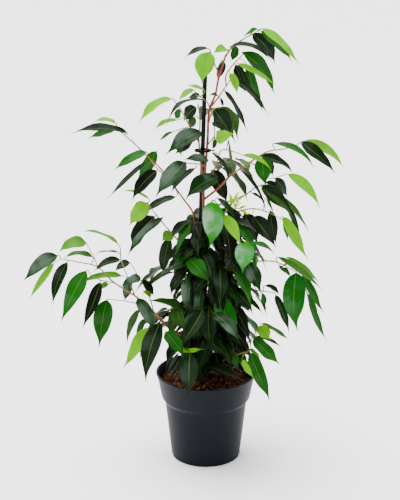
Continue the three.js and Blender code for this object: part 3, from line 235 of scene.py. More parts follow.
     [(-145, 580, -184, 581, 11, 54, 0.22, -8, 2), (-127, 564, -221, 563, 17, 46, 0.2, -22, -34),
      (-148, 568, -192, 556, 12, 36, 0.1, 0, 10)]),
    ("upper_left_spray", "second_stem", (1.3, 0.7), "MMDKD",
     [[(-62, 490, -12), (-74, 500, -20), (-86, 514, -24), (-94, 526, -24)]],
     [(-97, 533, -151, 502, 19, 40, 0.22, -30, -44), (-80, 534, -113, 484, 22, 22, 0.12, -12, 0),
      (-98, 516, -162, 453, 12, 46, 0.15, -32, -46), (-80, 502, -123, 453, 25, 30, 0.12, -20, -20),
      (-50, 458, -108, 424, 17, 44, 0.2, -10, -20)]),
]

# Shoots that fill the middle and the back: name, parent, height, direction, length,
# leaves, spread, tones.
SHOOTS = [
    ("back_low_spray", "main_stem", 178, 62, 92, 6, 0.8, "DMDDBM"),
    ("back_low_left_spray", "second_stem", 205, 118, 88, 6, 0.75, "DDMDMB"),
    ("back_middle_spray", "main_stem", 262, 82, 104, 7, 0.8, "DMDDMDM"),
    ("back_left_spray", "second_stem", 296, 126, 84, 6, 0.7, "DDGDMM"),
    ("back_right_spray", "main_stem", 318, 52, 104, 7, 0.75, "DDMGDMB"),
    ("back_upper_spray", "main_stem", 392, 76, 96, 6, 0.7, "DMDDMM"),
    ("back_high_spray", "main_stem", 486, 52, 80, 5, 0.35, "DMDMB"),
    ("back_crown_spray", "main_stem", 580, 78, 56, 4, 0.3, "MDMB"),
    ("inner_front_low_spray", "main_stem", 214, -62, 40, 5, 0.6, "DKDKD"),
    ("inner_right_low_spray", "main_stem", 240, -12, 52, 6, 0.6, "KDDKDM"),
    ("inner_left_low_spray", "second_stem", 250, 165, 36, 5, 0.6, "DKMDD"),
    ("inner_front_spray", "main_stem", 276, -84, 36, 5, 0.6, "DGDKD"),
    ("inner_right_spray", "main_stem", 304, 14, 58, 6, 0.6, "KDDMKD"),
    ("inner_front_right_spray", "main_stem", 338, -40, 50, 5, 0.6, "DKDDM"),
    ("inner_right_middle_spray", "main_stem", 376, -3, 57, 6, 0.6, "KDKDMD"),
    ("inner_right_upper_spray", "main_stem", 408, -28, 50, 5, 0.6, "DDKDM"),
]


# ---- meshes ---------------------------------------------------------------------------
def unit(v):
    """Each vector over its own length."""
    return v / np.linalg.norm(v, axis=-1, keepdims=True)


def srgb(red, green, blue):
    """A colour as it is named, 0 to 255, as linear light: ((c + 0.055) / 1.055) to the power
    2.4, then to the power 1.5 and times COLOUR_DEPTH, because the light in the scene is bright."""
    c = np.array([red, green, blue]) / 255
    return COLOUR_DEPTH * np.where(c <= 0.04045, c / 12.92, ((c + 0.055) / 1.055) ** 2.4) ** 1.5


def put_object(name, data):
    """An object of a mesh, a light or a camera, in the scene."""
    made = bpy.data.objects.new(name, data)
    bpy.context.scene.collection.objects.link(made)
    return made


def put_mesh(name, points, faces, colours=None, uvs=None):
    """A smooth mesh object from points in millimetres and faces, with an optional colour
    and UV place at each point."""
    mesh = bpy.data.meshes.new(name)
    mesh.from_pydata((points * MM).tolist(), [], faces)
    mesh.polygons.foreach_set("use_smooth", np.ones(len(mesh.polygons), bool))
    if colours is not None:
        layer = mesh.attributes.new("tint", "FLOAT_COLOR", "POINT")
        layer.data.foreach_set("color", colours.astype(np.float32).ravel())
    if uvs is not None:
        corner = np.empty(len(mesh.loops), np.int32)
        mesh.loops.foreach_get("vertex_index", corner)
        layer = mesh.uv_layers.new(name="along")
        layer.uv.foreach_set("vector", uvs[corner].astype(np.float32).ravel())
    mesh.validate()
    return put_object(name, mesh)


def sleeve(rings, closed=False):
    """Faces between neighbouring rings of a (rows, around) grid: each row joins the next,
    point k to point k + 1. The two end rings are fans, or join each other where closed."""
    rows, around = rings.shape[:2]
    row = np.arange(rows if closed else rows - 1)[:, None] * around
    after = (row + around) % (rows * around)
    k = np.arange(around)
    turn = (k + 1) % around
    quads = np.stack([row + k, row + turn, after + turn, after + k], axis=-1).reshape(-1, 4)
    faces = quads.tolist()
    points = rings.reshape(-1, 3)
    if not closed:
        first, last = len(points), len(points) + 1
        points = np.vstack([points, rings[0].mean(axis=0), rings[-1].mean(axis=0)])
        top = (rows - 1) * around
        faces += np.stack([turn, k, np.full(around, first)], axis=-1).tolist()
        faces += np.stack([top + k, top + turn, np.full(around, last)], axis=-1).tolist()
    return points, faces


def full_turn(count):
    """So many equal steps of a full turn, in radians."""
    return 2 * np.pi * np.arange(count) / count


BOX_CORNERS = np.array([(x, y, z) for x in (-1, 1) for y in (-1, 1) for z in (-1, 1)])
BOX_SIDES = np.array([(0, 1, 3, 2), (4, 6, 7, 5), (0, 4, 5, 1),
                      (2, 3, 7, 6), (0, 2, 6, 4), (1, 5, 7, 3)])


def box_faces(count):
    """The faces of so many boxes, whose corners come eight by eight."""
    return (BOX_SIDES + 8 * np.arange(count)[:, None, None]).reshape(-1, 4).tolist()


def gather(parts):
    """Several (points, faces, ...) as one: each part's faces counted on, and what follows
    the faces joined as the points are."""
    points, faces, *others = zip(*parts)
    starts = np.cumsum([0] + [len(part) for part in points])
    counted = [[i + start for i in face] for part, start in zip(faces, starts) for face in part]
    return np.vstack(points), counted, *(np.vstack(other) for other in others)


def opaque(colours):
    """Colours with a fourth channel of 1."""
    return np.concatenate([colours, np.ones((len(colours), 1))], axis=1)


def finish(piece, slot, material, *nodes):
    """Gives a piece its material and its place in the frame."""
    piece.data.materials.append(material)
    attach(piece, "root")
    if nodes:
        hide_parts(*nodes)


# ---- paths ------------------------------------------------------------------------------
def place(x, z, y):
    """The point (x, z) of the front elevation moved along its sight line to the depth y."""
    share = (y - SIGHT[1]) / -SIGHT[1]
    return np.array([SIGHT[0] + (x - SIGHT[0]) * share, y, SIGHT[2] + (z - SIGHT[2]) * share])


def along(points, t):
    """Centripetal Catmull-Rom path: between two points a cubic whose end tangents are
    worked out with the square roots of the chord lengths."""
    points = np.asarray(points, float)
    ends = np.vstack([2 * points[0] - points[1], points, 2 * points[-1] - points[-2]])
    where = t * (len(points) - 1)
    k = np.minimum(where.astype(int), len(points) - 2)
    w = (where - k)[:, None]
    p0, p1, p2, p3 = (ends[k + i] for i in range(4))
    d0, d1, d2 = (np.sqrt(np.linalg.norm(b - a, axis=1))[:, None]
                  for a, b in ((p0, p1), (p1, p2), (p2, p3)))
    m1 = d1 * ((p1 - p0) / d0 - (p2 - p0) / (d0 + d1) + (p2 - p1) / d1)
    m2 = d1 * ((p2 - p1) / d1 - (p3 - p1) / (d1 + d2) + (p3 - p2) / d2)
    cubic = 2 * p1 - 2 * p2 + m1 + m2
    square = -3 * p1 + 3 * p2 - 2 * m1 - m2
    return p1 + m1 * w + square * w ** 2 + cubic * w ** 3


def run_of(points):
    """Places along a path from 0 to 1 and the length run to each, by 200 chords."""
    t = np.linspace(0, 1, 201)
    chords = np.linalg.norm(np.diff(along(points, t), axis=0), axis=1)
    return t, np.concatenate([[0], np.cumsum(chords)])


def spaced(points, count):
    """count + 1 points at equal distances along the path."""
    t, run = run_of(points)
    return along(points, np.interp(np.linspace(0, run[-1], count + 1), run, t))


def bar_points(points, steps=None):
    """Points on the straight steps of the solid bar, BAR_PARTS to each step. A branch has
    two steps more than its path has points."""
    steps = steps or 2 + len(points)
    centres = spaced(points, steps)
    where = np.arange(steps * BAR_PARTS + 1) / BAR_PARTS
    return np.stack([np.interp(where, np.arange(steps + 1), axis) for axis in centres.T], axis=1)


def nearest(points, point):
    """The one of the points that lies nearest to a point."""
    return points[np.linalg.norm(points - point, axis=1).argmin()]


def at_height(points, height):
    """The one of the points that lies nearest to a height."""
    return points[np.abs(points[:, 2] - height).argmin()]


def stake_axis(z):
    """The middle of the leaning stake at a height."""
    return np.array([STAKE_FOOT_X + STAKE_LEAN * (z - SOIL_TOP + ROOTING_DEPTH + WALL), 0, z])


def beside(z, radius, direction, clear):
    """The middle of a stem that runs beside the stake, in a direction in degrees."""
    angle = math.radians(direction)
    reach = STAKE_RADIUS + STEM_GAP + radius + clear
    return stake_axis(z) + reach * np.array([math.cos(angle), math.sin(angle), 0])


STEM_PATHS = {
    "main_stem": [beside(z, MAIN_STEM_RADII[0], direction, clear) for z, direction, clear in (
        (SOIL_TOP - ROOTING_DEPTH, -20, 11), (155, -20, 10.5), (248, -22, 8.5), (310, -30, 5),
        (375, -49, 0.2), (430, -56, 0.2), (471, -66, 0.2), (516, -48, 0.2), (552, -28, 0.2),
        (603, -15, 1))] + [place(14, 625, -5), place(18, 645, -6), place(23, 664, -7), place(31, 690, -8)],
    "second_stem": [beside(z, SECOND_STEM_RADII[0], direction, clear) for z, direction, clear in (
        (SOIL_TOP - ROOTING_DEPTH, 190, 5), (180, 190, 4), (260, 190, 1), (340, 185, 0.2),
        (405, 185, 0.2))] + [place(-22, 432, -4), place(-36, 453, -8), place(-59, 486, -12),
                             place(-78, 510, -14), place(-97, 528, -14), place(-121, 552, -12)],
}
STEM_STEPS = {"main_stem": 24, "second_stem": 20}
BAR_PARTS = 8


def tube(points, radii, around, roughen=0.0):
    """Rings round a path: centre + radius (side cos a + up sin a), with the path ahead,
    side and up square to each other, and the radius swelling a little by a sum of sines."""
    ahead = unit(np.gradient(points, axis=0))
    lean = np.eye(3)[np.abs(points[-1] - points[0]).argmin()]
    side = unit(np.cross(lean, ahead))
    up = np.cross(ahead, side)
    a = full_turn(around)
    row = np.arange(len(points))[:, None]
    waves = np.sin(1.1 * row + 2 * a) + np.sin(0.43 * row - a) + np.sin(2.3 * row + 3 * a)
    uneven = 1 + roughen * waves / 2
    size = np.asarray(radii)[:, None] * uneven
    ring = side[:, None] * np.cos(a)[:, None] + up[:, None] * np.sin(a)[:, None]
    return points[:, None] + size[..., None] * ring


def twig(points, radii, ages, around=8, spacing=2.0, knots=17.0):
    """A wood tube along a path: its radius runs evenly from one end to the other, with a
    small swelling at each knot. The tint's red is the age and the UV is the length."""
    length = np.linalg.norm(np.diff(spaced(points, 40), axis=0), axis=1).sum()
    count = max(6, int(length / spacing))
    centres = spaced(points, count)
    share = np.linspace(0, 1, count + 1)
    radius = radii[0] + (radii[1] - radii[0]) * share
    radius = radius * (1 + 0.16 * np.exp(-(((share * length + 6) % knots - knots / 2) / 1.6) ** 2))
    rings = tube(centres, radius, around, 0.05)
    points, faces = sleeve(rings)
    shares = np.concatenate([np.repeat(share, around), [0, 1]])
    age = ages[0] + (ages[1] - ages[0]) * shares
    turn = np.concatenate([np.tile(np.arange(around) / around, count + 1), [0.5, 0.5]])
    colours = np.stack([age, turn, shares, np.ones_like(age)], axis=1)
    return points, faces, colours, np.stack([shares * length, turn], axis=1)


def shoot_path(start, out, length, rises):
    """The points of a shoot at 0, 0.4, 0.75 and 1 of its length, each raised by a share."""
    return [start + out * reach * length + SKY * rise * length
            for reach, rise in zip((0, 0.4, 0.75, 1), rises)]


def level_axes(angle, flatten=1.0):
    """The level direction of an angle, its y flattened, and the one square to the angle."""
    return (np.array([math.cos(angle), flatten * math.sin(angle), 0]),
            np.array([-math.sin(angle), math.cos(angle), 0]))


def turn_of(j, count):
    """The side of a shoot's leaf j: -1 and 1 by turns, and 0, straight ahead, for the last."""
    return 0 if j == count - 1 else (j % 2) * 2 - 1


def square_to(face, heading):
    """The part of a direction that is square to a heading, as a unit vector."""
    return unit(face - heading * face.dot(heading))


# ---- leaves -------------------------------------------------------------------------------
# Each tone is a colour and the strength of its painted sheen: a whitish painted reflection that is later
# mixed into the upper side's base colour.
TONES = {
    "K": (srgb(6, 38, 2), 0.0), "D": (srgb(12, 66, 6), 0.06), "M": (srgb(44, 130, 0), 0.05),
    "O": (srgb(70, 116, 6), 0.05), "B": (srgb(148, 210, 0), 0.02), "L": (srgb(118, 180, 30), 0.06),
    "G": (srgb(10, 88, 34), 0.22), "W": (srgb(30, 176, 0), 0.62), "P": (srgb(96, 140, 60), 0.05),
    "Y": (srgb(214, 232, 0), 0.0), "F": (srgb(14, 130, 0), 0.08),
}
YOUNG = "BLYW"
LEAF_RING = 12
OUTLINE_AT = np.array([0, 0.03, 0.08, 0.15, 0.23, 0.32, 0.41, 0.5, 0.59, 0.68, 0.77, 0.85, 0.92, 0.97, 1])
OUTLINE = np.array([0, 0.3, 0.62, 0.84, 0.96, 1, 0.99, 0.93, 0.82, 0.64, 0.38, 0.17, 0.08, 0.05, 0.015])
LEAF_ROWS = np.interp(np.arange(0, 14.1, 0.5), np.arange(15), OUTLINE_AT)
LEAF_SHARE = np.interp(LEAF_ROWS, OUTLINE_AT, OUTLINE)
LEAF_SHARE[1:-1] = (LEAF_SHARE[:-2] + 2 * LEAF_SHARE[1:-1] + LEAF_SHARE[2:]) / 4
PETIOLE_RADIUS = 0.6
BLADE_HALF_THICKNESS = 0.28
BLADE_FOLD = 0.32
STALK_ROWS = 5


def face_of(base, tip, roll):
    """The way a blade's upper face looks: towards the sight point square to its chord at
    roll 0, turned towards the sky at roll 90."""
    chord = unit(tip - base)
    middle = (base + tip) / 2
    view = square_to(SIGHT - middle, chord)
    up = unit(np.cross(view, chord))
    if up.dot([np.sign(middle[0]) * 0.4, 0, 1]) < 0:
        up = -up
    return view * math.cos(math.radians(roll)) + up * math.sin(math.radians(roll))


def leaf(base, tip, face, width, arch, root, tone, phase):
    """One leaf. Its spine is a quadratic curve whose middle is lifted along the face by
    arch times the length, bowed a little aside, and its drip tip hooks aside and down. A
    ring of the blade is centre + side h cos a + up (f h |cos a|^1.4 + w h cos^2 a - d sin a):
    h the half width, f the fold, w a slow wave along the edge and d the half thickness.
    The petiole is a cubic from the wood to the blade."""
    length = np.linalg.norm(tip - base)
    middle = (base + tip) / 2 + face * arch * length
    t = LEAF_ROWS[:, None]
    spine = base * (1 - t) ** 2 + middle * 2 * t * (1 - t) + tip * t ** 2
    ahead = unit((middle - base) * (1 - t) + (tip - middle) * t)
    side = unit(np.cross(ahead, face))
    if tone == "Y":
        width = width * 0.8
    bow = 0.05 * length * math.sin(5 * phase + 1) * 4 * t * (1 - t)
    hook = 0.05 * length * np.clip((t - 0.7) / 0.3, 0, 1) ** 2
    spine = spine + bow * side + hook * (side * math.sin(9 * phase) - 0.5 * SKY)
    reach = np.linalg.norm(base - root)
    u = np.linspace(0, 1, STALK_ROWS + 1)[:-1, None]
    start, end = (base - root) * 0.9, ahead[0] * reach * 0.9
    stalk = (root * (1 + 2 * u) * (1 - u) ** 2 + start * u * (1 - u) ** 2
             + base * (3 - 2 * u) * u ** 2 + end * (u - 1) * u ** 2)
    stalk_ahead = unit(np.gradient(np.vstack([stalk, base]), axis=0)[:-1] + 1e-6)
    stalk_side = unit(side[0] - stalk_ahead * (stalk_ahead @ side[0])[:, None])
    centres = np.vstack([stalk, spine])
    aheads, sides = np.vstack([stalk_ahead, ahead]), np.vstack([stalk_side, side])
    ups = np.cross(sides, aheads)

    a = full_turn(LEAF_RING)
    s, lift = np.cos(a), -np.sin(a)
    half = np.concatenate([np.zeros(STALK_ROWS), LEAF_SHARE * width / 2])[:, None]
    rows = np.concatenate([np.full(STALK_ROWS, -0.1), LEAF_ROWS])[:, None]
    neck = PETIOLE_RADIUS * np.clip(1 - rows / 0.09, 0, 1)
    across = np.maximum(half, neck) * s
    wave = (0.12 + 0.06 * math.sin(3 * phase)) * np.sin(11 * rows + phase + 1.6 * np.sign(s)) * s ** 2
    fold = BLADE_FOLD * (1 + 0.5 * math.sin(4 * phase)) * np.abs(s) ** 1.4
    thick = neck + BLADE_HALF_THICKNESS * (1 - 0.5 * np.clip(rows, 0, 1))
    raised = half * (fold + wave) + thick * lift
    rings = centres[:, None] + sides[:, None] * across[..., None] + ups[:, None] * raised[..., None]
    points, faces = sleeve(rings)

    colour, sheen = TONES[tone]
    colour = colour * (1 + 0.16 * np.sin(7.1 * phase)) * (1 + 0.07 * np.sin([3.1 * phase, 0, 5.3 * phase]))
    under = colour * 0.45 + srgb(122, 150, 96) * 0.4
    stem_colour = srgb(150, 165, 50) if tone in YOUNG else srgb(96, 104, 38)
    is_blade = np.clip(rows / 0.05, 0, 1)[..., None]
    shade = np.where(lift[:, None] >= -0.01, colour, under)[None]
    rgb = shade * is_blade + stem_colour * (1 - is_blade)
    # The fourth channel carries the painted sheen (painted reflection), on the upper side only.
    alpha = np.broadcast_to(np.where(lift >= -0.01, sheen, 0.0), rings.shape[:2])
    tint = np.concatenate([rgb, alpha[..., None]], axis=-1).reshape(-1, 4)
    uv = np.stack(np.broadcast_arrays(rows, 0.5 + 0.5 * s), axis=-1).reshape(-1, 2)
    each = np.r_[0:len(tint), 0, len(tint) - 1]
    return points, faces, tint[each], uv[each]


SHIFT_STEP, SHIFT_TRIES = 3, 44


def settled(node_points, base, tip):
    """The depth at which the solid model's leaf came to rest: of the steps 0, 3, -3, 6 ...
    the one that puts the tip on a corner of the solid."""
    attempt = np.arange(SHIFT_TRIES)
    shifts = np.ceil(attempt / 2) * SHIFT_STEP * np.where(attempt % 2, 1, -1)
    tips = np.array([tip(shift) for shift in shifts])
    gaps = np.linalg.norm(node_points[None] - tips[:, None], axis=2).min(axis=1)
    shift = shifts[gaps.argmin()]
    return base(shift), tips[gaps.argmin()]


def listed_branch(name, carrier, wood, leaf_rows):
    """A branch of the tables as its paths and its leaves' bases, tips, faces and shapes.
    Each path starts on its carrier: the parent, then the path before it."""
    node_points = corners_of(name)
    paths, leaves = [], []
    for rows in wood:
        points = [place(*row) for row in rows]
        points[0] = nearest(carrier, points[0])
        paths.append(points)
        carrier = bar_points(points)
    for bx, bz, tx, tz, width, roll, arch, by, ty in leaf_rows:
        base, tip = settled(node_points, lambda y: place(bx, bz, by + y), lambda y: place(tx, tz, ty + y))
        leaves.append((base, tip, face_of(base, tip, roll), width, arch))
    return paths, leaves


def listed_shoot(name, parent_points, height, direction, length, count, spread):
    """A shoot: it rises and levels out, and its leaves stand left and right by turns."""
    node_points = corners_of(name)
    out, side = level_axes(math.radians(direction))
    points = shoot_path(at_height(parent_points, height), out, length, (0, 0.2, 0.26, 0.2))
    t, run = run_of(points)
    leaves = []
    for j in range(count):
        turn = turn_of(j, count)
        where = np.interp((0.35 + 0.65 * j / (count - 1)) * run[-1], run, t)
        base = along(points, np.array([where]))[0] + out * 7 + side * 9 * turn + SKY * 3
        swing = math.sin(2.4 * j + direction)
        heading = unit(out * 0.5 + side * spread * turn + SKY * (-0.6 - 0.2 * swing))
        tip = base + heading * (64 + 14 * swing)
        face = square_to(SKY * 0.9 + out * 0.5, heading)
        base, tip = settled(node_points, lambda y: base + (0, y, 0), lambda y: tip + (0, y, 0))
        leaves.append((base, tip, face, 24 + 3 * swing, 0.16))
    return [points], leaves


def corners_of(node):
    """The corners of a solid of the frame, in millimetres."""
    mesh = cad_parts[node].data
    flat = np.empty(len(mesh.vertices) * 3, np.float32)
    mesh.vertices.foreach_get("co", flat)
    return np.unique(flat.reshape(-1, 3).round(7), axis=0) / MM


# ---- shoots close to the stem ---------------------------------------------------------------
INNER_SHOOTS = 26
INNER_FOOT, INNER_SPAN = 170, 240
INNER_LEAVES = 7
INNER_TONES = "KDKDDMK"
INNER_PARTS = 4
GOLDEN_ANGLE = 2.39996


def past_stake(base, tip, width):
    """How far a leaf moves, level and away from the stake, so that half its width and the
    stake's radius fit between its chord and the stake's axis."""
    chord = [base + (tip - base) * share for share in np.linspace(0, 1, 9)]
    away = np.array([point - stake_axis(point[2]) for point in chord]) * (1, 1, 0)
    closest = nearest(away, 0)
    return unit(closest) * max(width / 2 + STAKE_RADIUS + 1 - np.linalg.norm(closest), 0)


def inner_shoot(i, stem_points):
    """Shoot i of the leafy middle: it starts on the stem at a height that rises evenly with
    i, turns by the golden angle from the last, and hangs leaves left and right by turns."""
    share = i / (INNER_SHOOTS - 1)
    height = INNER_FOOT + INNER_SPAN * share
    out, side = level_axes(GOLDEN_ANGLE * i + 0.4, 0.8)
    length = (36 + 16 * math.sin(5.1 * i)) * (1.05 + (0.2 + 0.5 * share) * out[0]) * (1 - 0.15 * share)
    points = shoot_path(at_height(stem_points, height), out, length, (0, 0.28, 0.36, 0.26))
    middle = spaced(points, 20)
    leaves = []
    for j in range(INNER_LEAVES):
        turn = turn_of(j, INNER_LEAVES)
        root = middle[int(20 * (0.25 + 0.75 * j / (INNER_LEAVES - 1)))]
        base = root + out * 4 + side * 7 * turn + SKY * 2
        swing = math.sin(2.4 * j + 1.7 * i)
        heading = unit(out * (0.5 + 0.3 * swing) + side * 0.7 * turn + SKY * (-0.8 - 0.3 * swing))
        tip = base + heading * (52 + 13 * swing)
        face = square_to(out * 0.8 + SKY * 0.55 + side * 0.25 * turn, heading)
        width = 22 + 4 * swing
        move = past_stake(base, tip, width)
        leaves.append((base + move, tip + move, face, width, 0.12))
    return points, leaves


# ---- pot, soil, stake and ties ----------------------------------------------------------------
def soften(profile, reach, steps=4):
    """A profile whose inner corners are rounded: each corner is a quadratic curve between
    the points that lie so far before and after it."""
    profile = np.asarray(profile, float)
    before, corner, after = profile[:-2], profile[1:-1], profile[2:]
    back = np.minimum(reach, np.linalg.norm(before - corner, axis=1) * 0.45)[:, None]
    ahead = np.minimum(reach, np.linalg.norm(after - corner, axis=1) * 0.45)[:, None]
    start, end = corner + unit(before - corner) * back, corner + unit(after - corner) * ahead
    t = np.linspace(0, 1, steps)[None, :, None]
    curve = start[:, None] * (1 - t) ** 2 + corner[:, None] * 2 * t * (1 - t) + end[:, None] * t ** 2
    return np.vstack([profile[:1], curve.reshape(-1, 2), profile[-1:]])


def lathe(profile, around):
    """Rings (r cos a, r sin a, z) for each point (r, z) of a profile."""
    a = full_turn(around)
    radius, height = profile[:, 0, None], profile[:, 1, None]
    return np.stack(np.broadcast_arrays(radius * np.cos(a), radius * np.sin(a), height), axis=-1)


def make_pot():
    """The pot: a turned wall with a stepped band under the rim and a line round the foot,
    from which the drain notches are cut."""
    outline = soften([
        (0.5, 0), (BASE_RADIUS - 3, 0), (BASE_RADIUS, 0.6), (BASE_RADIUS + 0.5, FOOT_LINE_Z - 1),
        (BASE_RADIUS + FOOT_LINE_STEP + 0.2, FOOT_LINE_Z), (BASE_RADIUS + 1.2, FOOT_LINE_Z + 1.6),
        (SHOULDER_RADIUS, SHOULDER_Z), (SHOULDER_RADIUS + 0.5, SHOULDER_Z + 3),
        (BAND_FOOT_RADIUS - 1.2, BAND_FOOT_Z - 2.5), (BAND_FOOT_RADIUS, BAND_FOOT_Z),
        (RIM_RADIUS - RIM_LIP, POT_HEIGHT - 3.2), (RIM_RADIUS, POT_HEIGHT - 2.2),
        (RIM_RADIUS - 0.2, POT_HEIGHT), (RIM_RADIUS - RIM_LIP - WALL, POT_HEIGHT - 0.3),
        (BAND_FOOT_RADIUS - WALL, BAND_FOOT_Z),
        (SHOULDER_RADIUS - WALL, SHOULDER_Z), (BASE_RADIUS - WALL, FLOOR), (0.5, FLOOR),
    ], 1.1)
    points, faces = sleeve(lathe(outline, 144))
    pot = put_mesh("nursery_pot", points, faces)
    x, y, z = (BOX_CORNERS * (DRAIN_DEPTH / 2, DRAIN_WIDTH / 2, DRAIN_HEIGHT) + (BASE_RADIUS, 0, 0)).T
    a = np.radians(DRAIN_DEGREES)[:, None]
    turned = np.broadcast_arrays(x * np.cos(a) - y * np.sin(a), x * np.sin(a) + y * np.cos(a), z)
    corners = np.stack(turned, axis=-1).reshape(-1, 3)
    cutter = put_mesh("notch_cutter", corners, box_faces(len(DRAIN_DEGREES)))
    cut = pot.modifiers.new("drain notches", "BOOLEAN")
    cut.operation, cut.solver, cut.object = "DIFFERENCE", "EXACT", cutter
    bpy.context.view_layer.update()
    made = bpy.data.meshes.new_from_object(pot.evaluated_get(bpy.context.evaluated_depsgraph_get()))
    pot.modifiers.clear()
    pot.data = made
    bpy.data.objects.remove(cutter)
    return pot


def soil_height(radius):
    """The top of the potting mix: a low dome that falls from the middle to the wall."""
    share = np.clip(radius / SOIL_RADIUS, 0, 1)
    return SOIL_TOP + SOIL_DOME * (1 - share ** 2)


def make_soil():
    """The potting mix: a plug that fills the pot and a crumbly dome, whose rings rise and
    fall by a sum of sines."""
    under = np.array([(0.5, FLOOR + 0.4), (BASE_RADIUS - WALL - 0.5, FLOOR + 0.4),
                      (SHOULDER_RADIUS - WALL - 0.5, SHOULDER_Z),
                      (BAND_FOOT_RADIUS - WALL - 0.5, BAND_FOOT_Z)])
    radii = np.linspace(SOIL_RADIUS, 0.6, 60)
    top = np.stack([radii, soil_height(radii)], axis=1)
    rings = lathe(np.vstack([under, top]), 120)
    x, y = rings[4:, :, 0], rings[4:, :, 1]
    crumb = (np.sin(1.31 * x + 0.7 * y) * np.sin(1.13 * y - 0.5 * x)
             + 0.6 * np.sin(2.9 * x + 1.1) * np.sin(2.6 * y))
    rings[4:, :, 2] += 0.9 * crumb - 0.6
    return put_mesh("potting_mix", *sleeve(rings))


def make_chips(count):
    """Bark chips on the potting mix: eight-cornered splinters, their corners pushed about,
    each turned on its own and lying nearly flat."""
    reach = SOIL_RADIUS * 0.965 * np.sqrt(rng.random(count))
    angle = rng.random(count) * 2 * np.pi
    long = rng.uniform(1.6, 5.5, count) * rng.uniform(0.5, 1, count)
    size = np.stack([long, rng.uniform(0.6, 1.9, count), rng.uniform(0.3, 0.9, count)], axis=1)
    corners = BOX_CORNERS * size[:, None] * rng.uniform(0.55, 1.0, (count, 8, 3))
    turn, tilt = rng.random(count) * 2 * np.pi, rng.normal(0, 0.3, count)
    ahead = np.stack([np.cos(turn) * np.cos(tilt), np.sin(turn) * np.cos(tilt), np.sin(tilt)], axis=1)
    side = np.stack([-np.sin(turn), np.cos(turn), np.zeros(count)], axis=1)
    up = np.cross(ahead, side)
    axes = np.stack([ahead, side, up], axis=1)
    points = np.einsum("nkc,ncd->nkd", corners, axes)
    height = soil_height(reach) + rng.uniform(-0.3, 1.6, count)
    middle = np.stack([reach * np.cos(angle), reach * np.sin(angle), height], axis=1)
    points = (points + middle[:, None]).reshape(-1, 3)
    kinds = np.array([srgb(126, 78, 54), srgb(176, 108, 72), srgb(222, 146, 100), srgb(66, 44, 34),
                      srgb(244, 204, 160)])
    kind = rng.choice(5, count, p=[0.34, 0.26, 0.14, 0.21, 0.05])
    tint = opaque(kinds[kind] * rng.uniform(0.7, 1.2, (count, 1)))
    piece = put_mesh("bark_chips", points, box_faces(count), np.repeat(tint, 8, axis=0))
    piece.data.polygons.foreach_set("use_smooth", np.zeros(len(piece.data.polygons), bool))
    return piece


def make_fibres(count):
    """Coir fibres: three-sided threads, each an arc that rises off the potting mix."""
    reach = SOIL_RADIUS * 0.93 * np.sqrt(rng.random(count))
    angle, turn = rng.random(count) * 2 * np.pi, rng.random(count) * 2 * np.pi
    length, bend = rng.uniform(4, 12, count), rng.normal(0, 0.9, count)
    t = np.linspace(-0.5, 0.5, 6)[None, :]
    heading = turn[:, None] + bend[:, None] * t
    x = (reach * np.cos(angle))[:, None] + length[:, None] * t * np.cos(heading)
    y = (reach * np.sin(angle))[:, None] + length[:, None] * t * np.sin(heading)
    inside = np.minimum(1, 0.97 * SOIL_RADIUS / np.hypot(x, y))
    x, y = x * inside, y * inside
    z = soil_height(np.hypot(x, y)) + 0.5 + rng.uniform(0.3, 2.0, (count, 1)) * (1 - 4 * t ** 2)
    centres = np.stack([x, y, z], axis=-1)
    a = full_turn(3)
    side = np.stack([-np.sin(heading), np.cos(heading), np.zeros_like(x)], axis=-1)
    thick = rng.uniform(0.16, 0.34, (count, 1, 1, 1))
    ring = side[:, :, None] * np.cos(a)[:, None] + SKY * np.sin(a)[:, None]
    rings = centres[:, :, None] + thick * ring
    _, faces = sleeve(rings[0])
    points = np.concatenate([rings.reshape(count, -1, 3), centres[:, :1], centres[:, -1:]], axis=1)
    each = points.shape[1]
    faces = [[v + each * k for v in face] for k in range(count) for face in faces]
    tint = np.repeat(opaque(srgb(228, 146, 96) * rng.uniform(0.3, 1.25, (count, 1))), each, axis=0)
    return put_mesh("coir_fibres", points.reshape(-1, 3), faces, tint)


def make_stake():
    """The stake: a straight rod with a rounded top, its skin pulled in by fine ridges."""
    heights = np.concatenate([[0], np.linspace(0.5, STAKE_LENGTH - 3, 60),
                              STAKE_LENGTH - 3 + 3 * np.sin(np.linspace(0.2, 1.5, 6))])
    shares = np.clip((STAKE_LENGTH - heights) / 3, 0, 1)
    radii = STAKE_RADIUS * np.sqrt(1 - (1 - shares) ** 2 * 0.96)
    foot = stake_axis(SOIL_TOP - ROOTING_DEPTH)
    points = foot + heights[:, None] * unit(np.array([STAKE_LEAN, 0, 1]))
    rings = tube(points, radii, 32)
    ridge = 1 - 0.018 * (np.arange(32) % 4 == 0)
    return put_mesh("stake_rod", *sleeve(points[:, None] + (rings - points[:, None]) * ridge[:, None]))


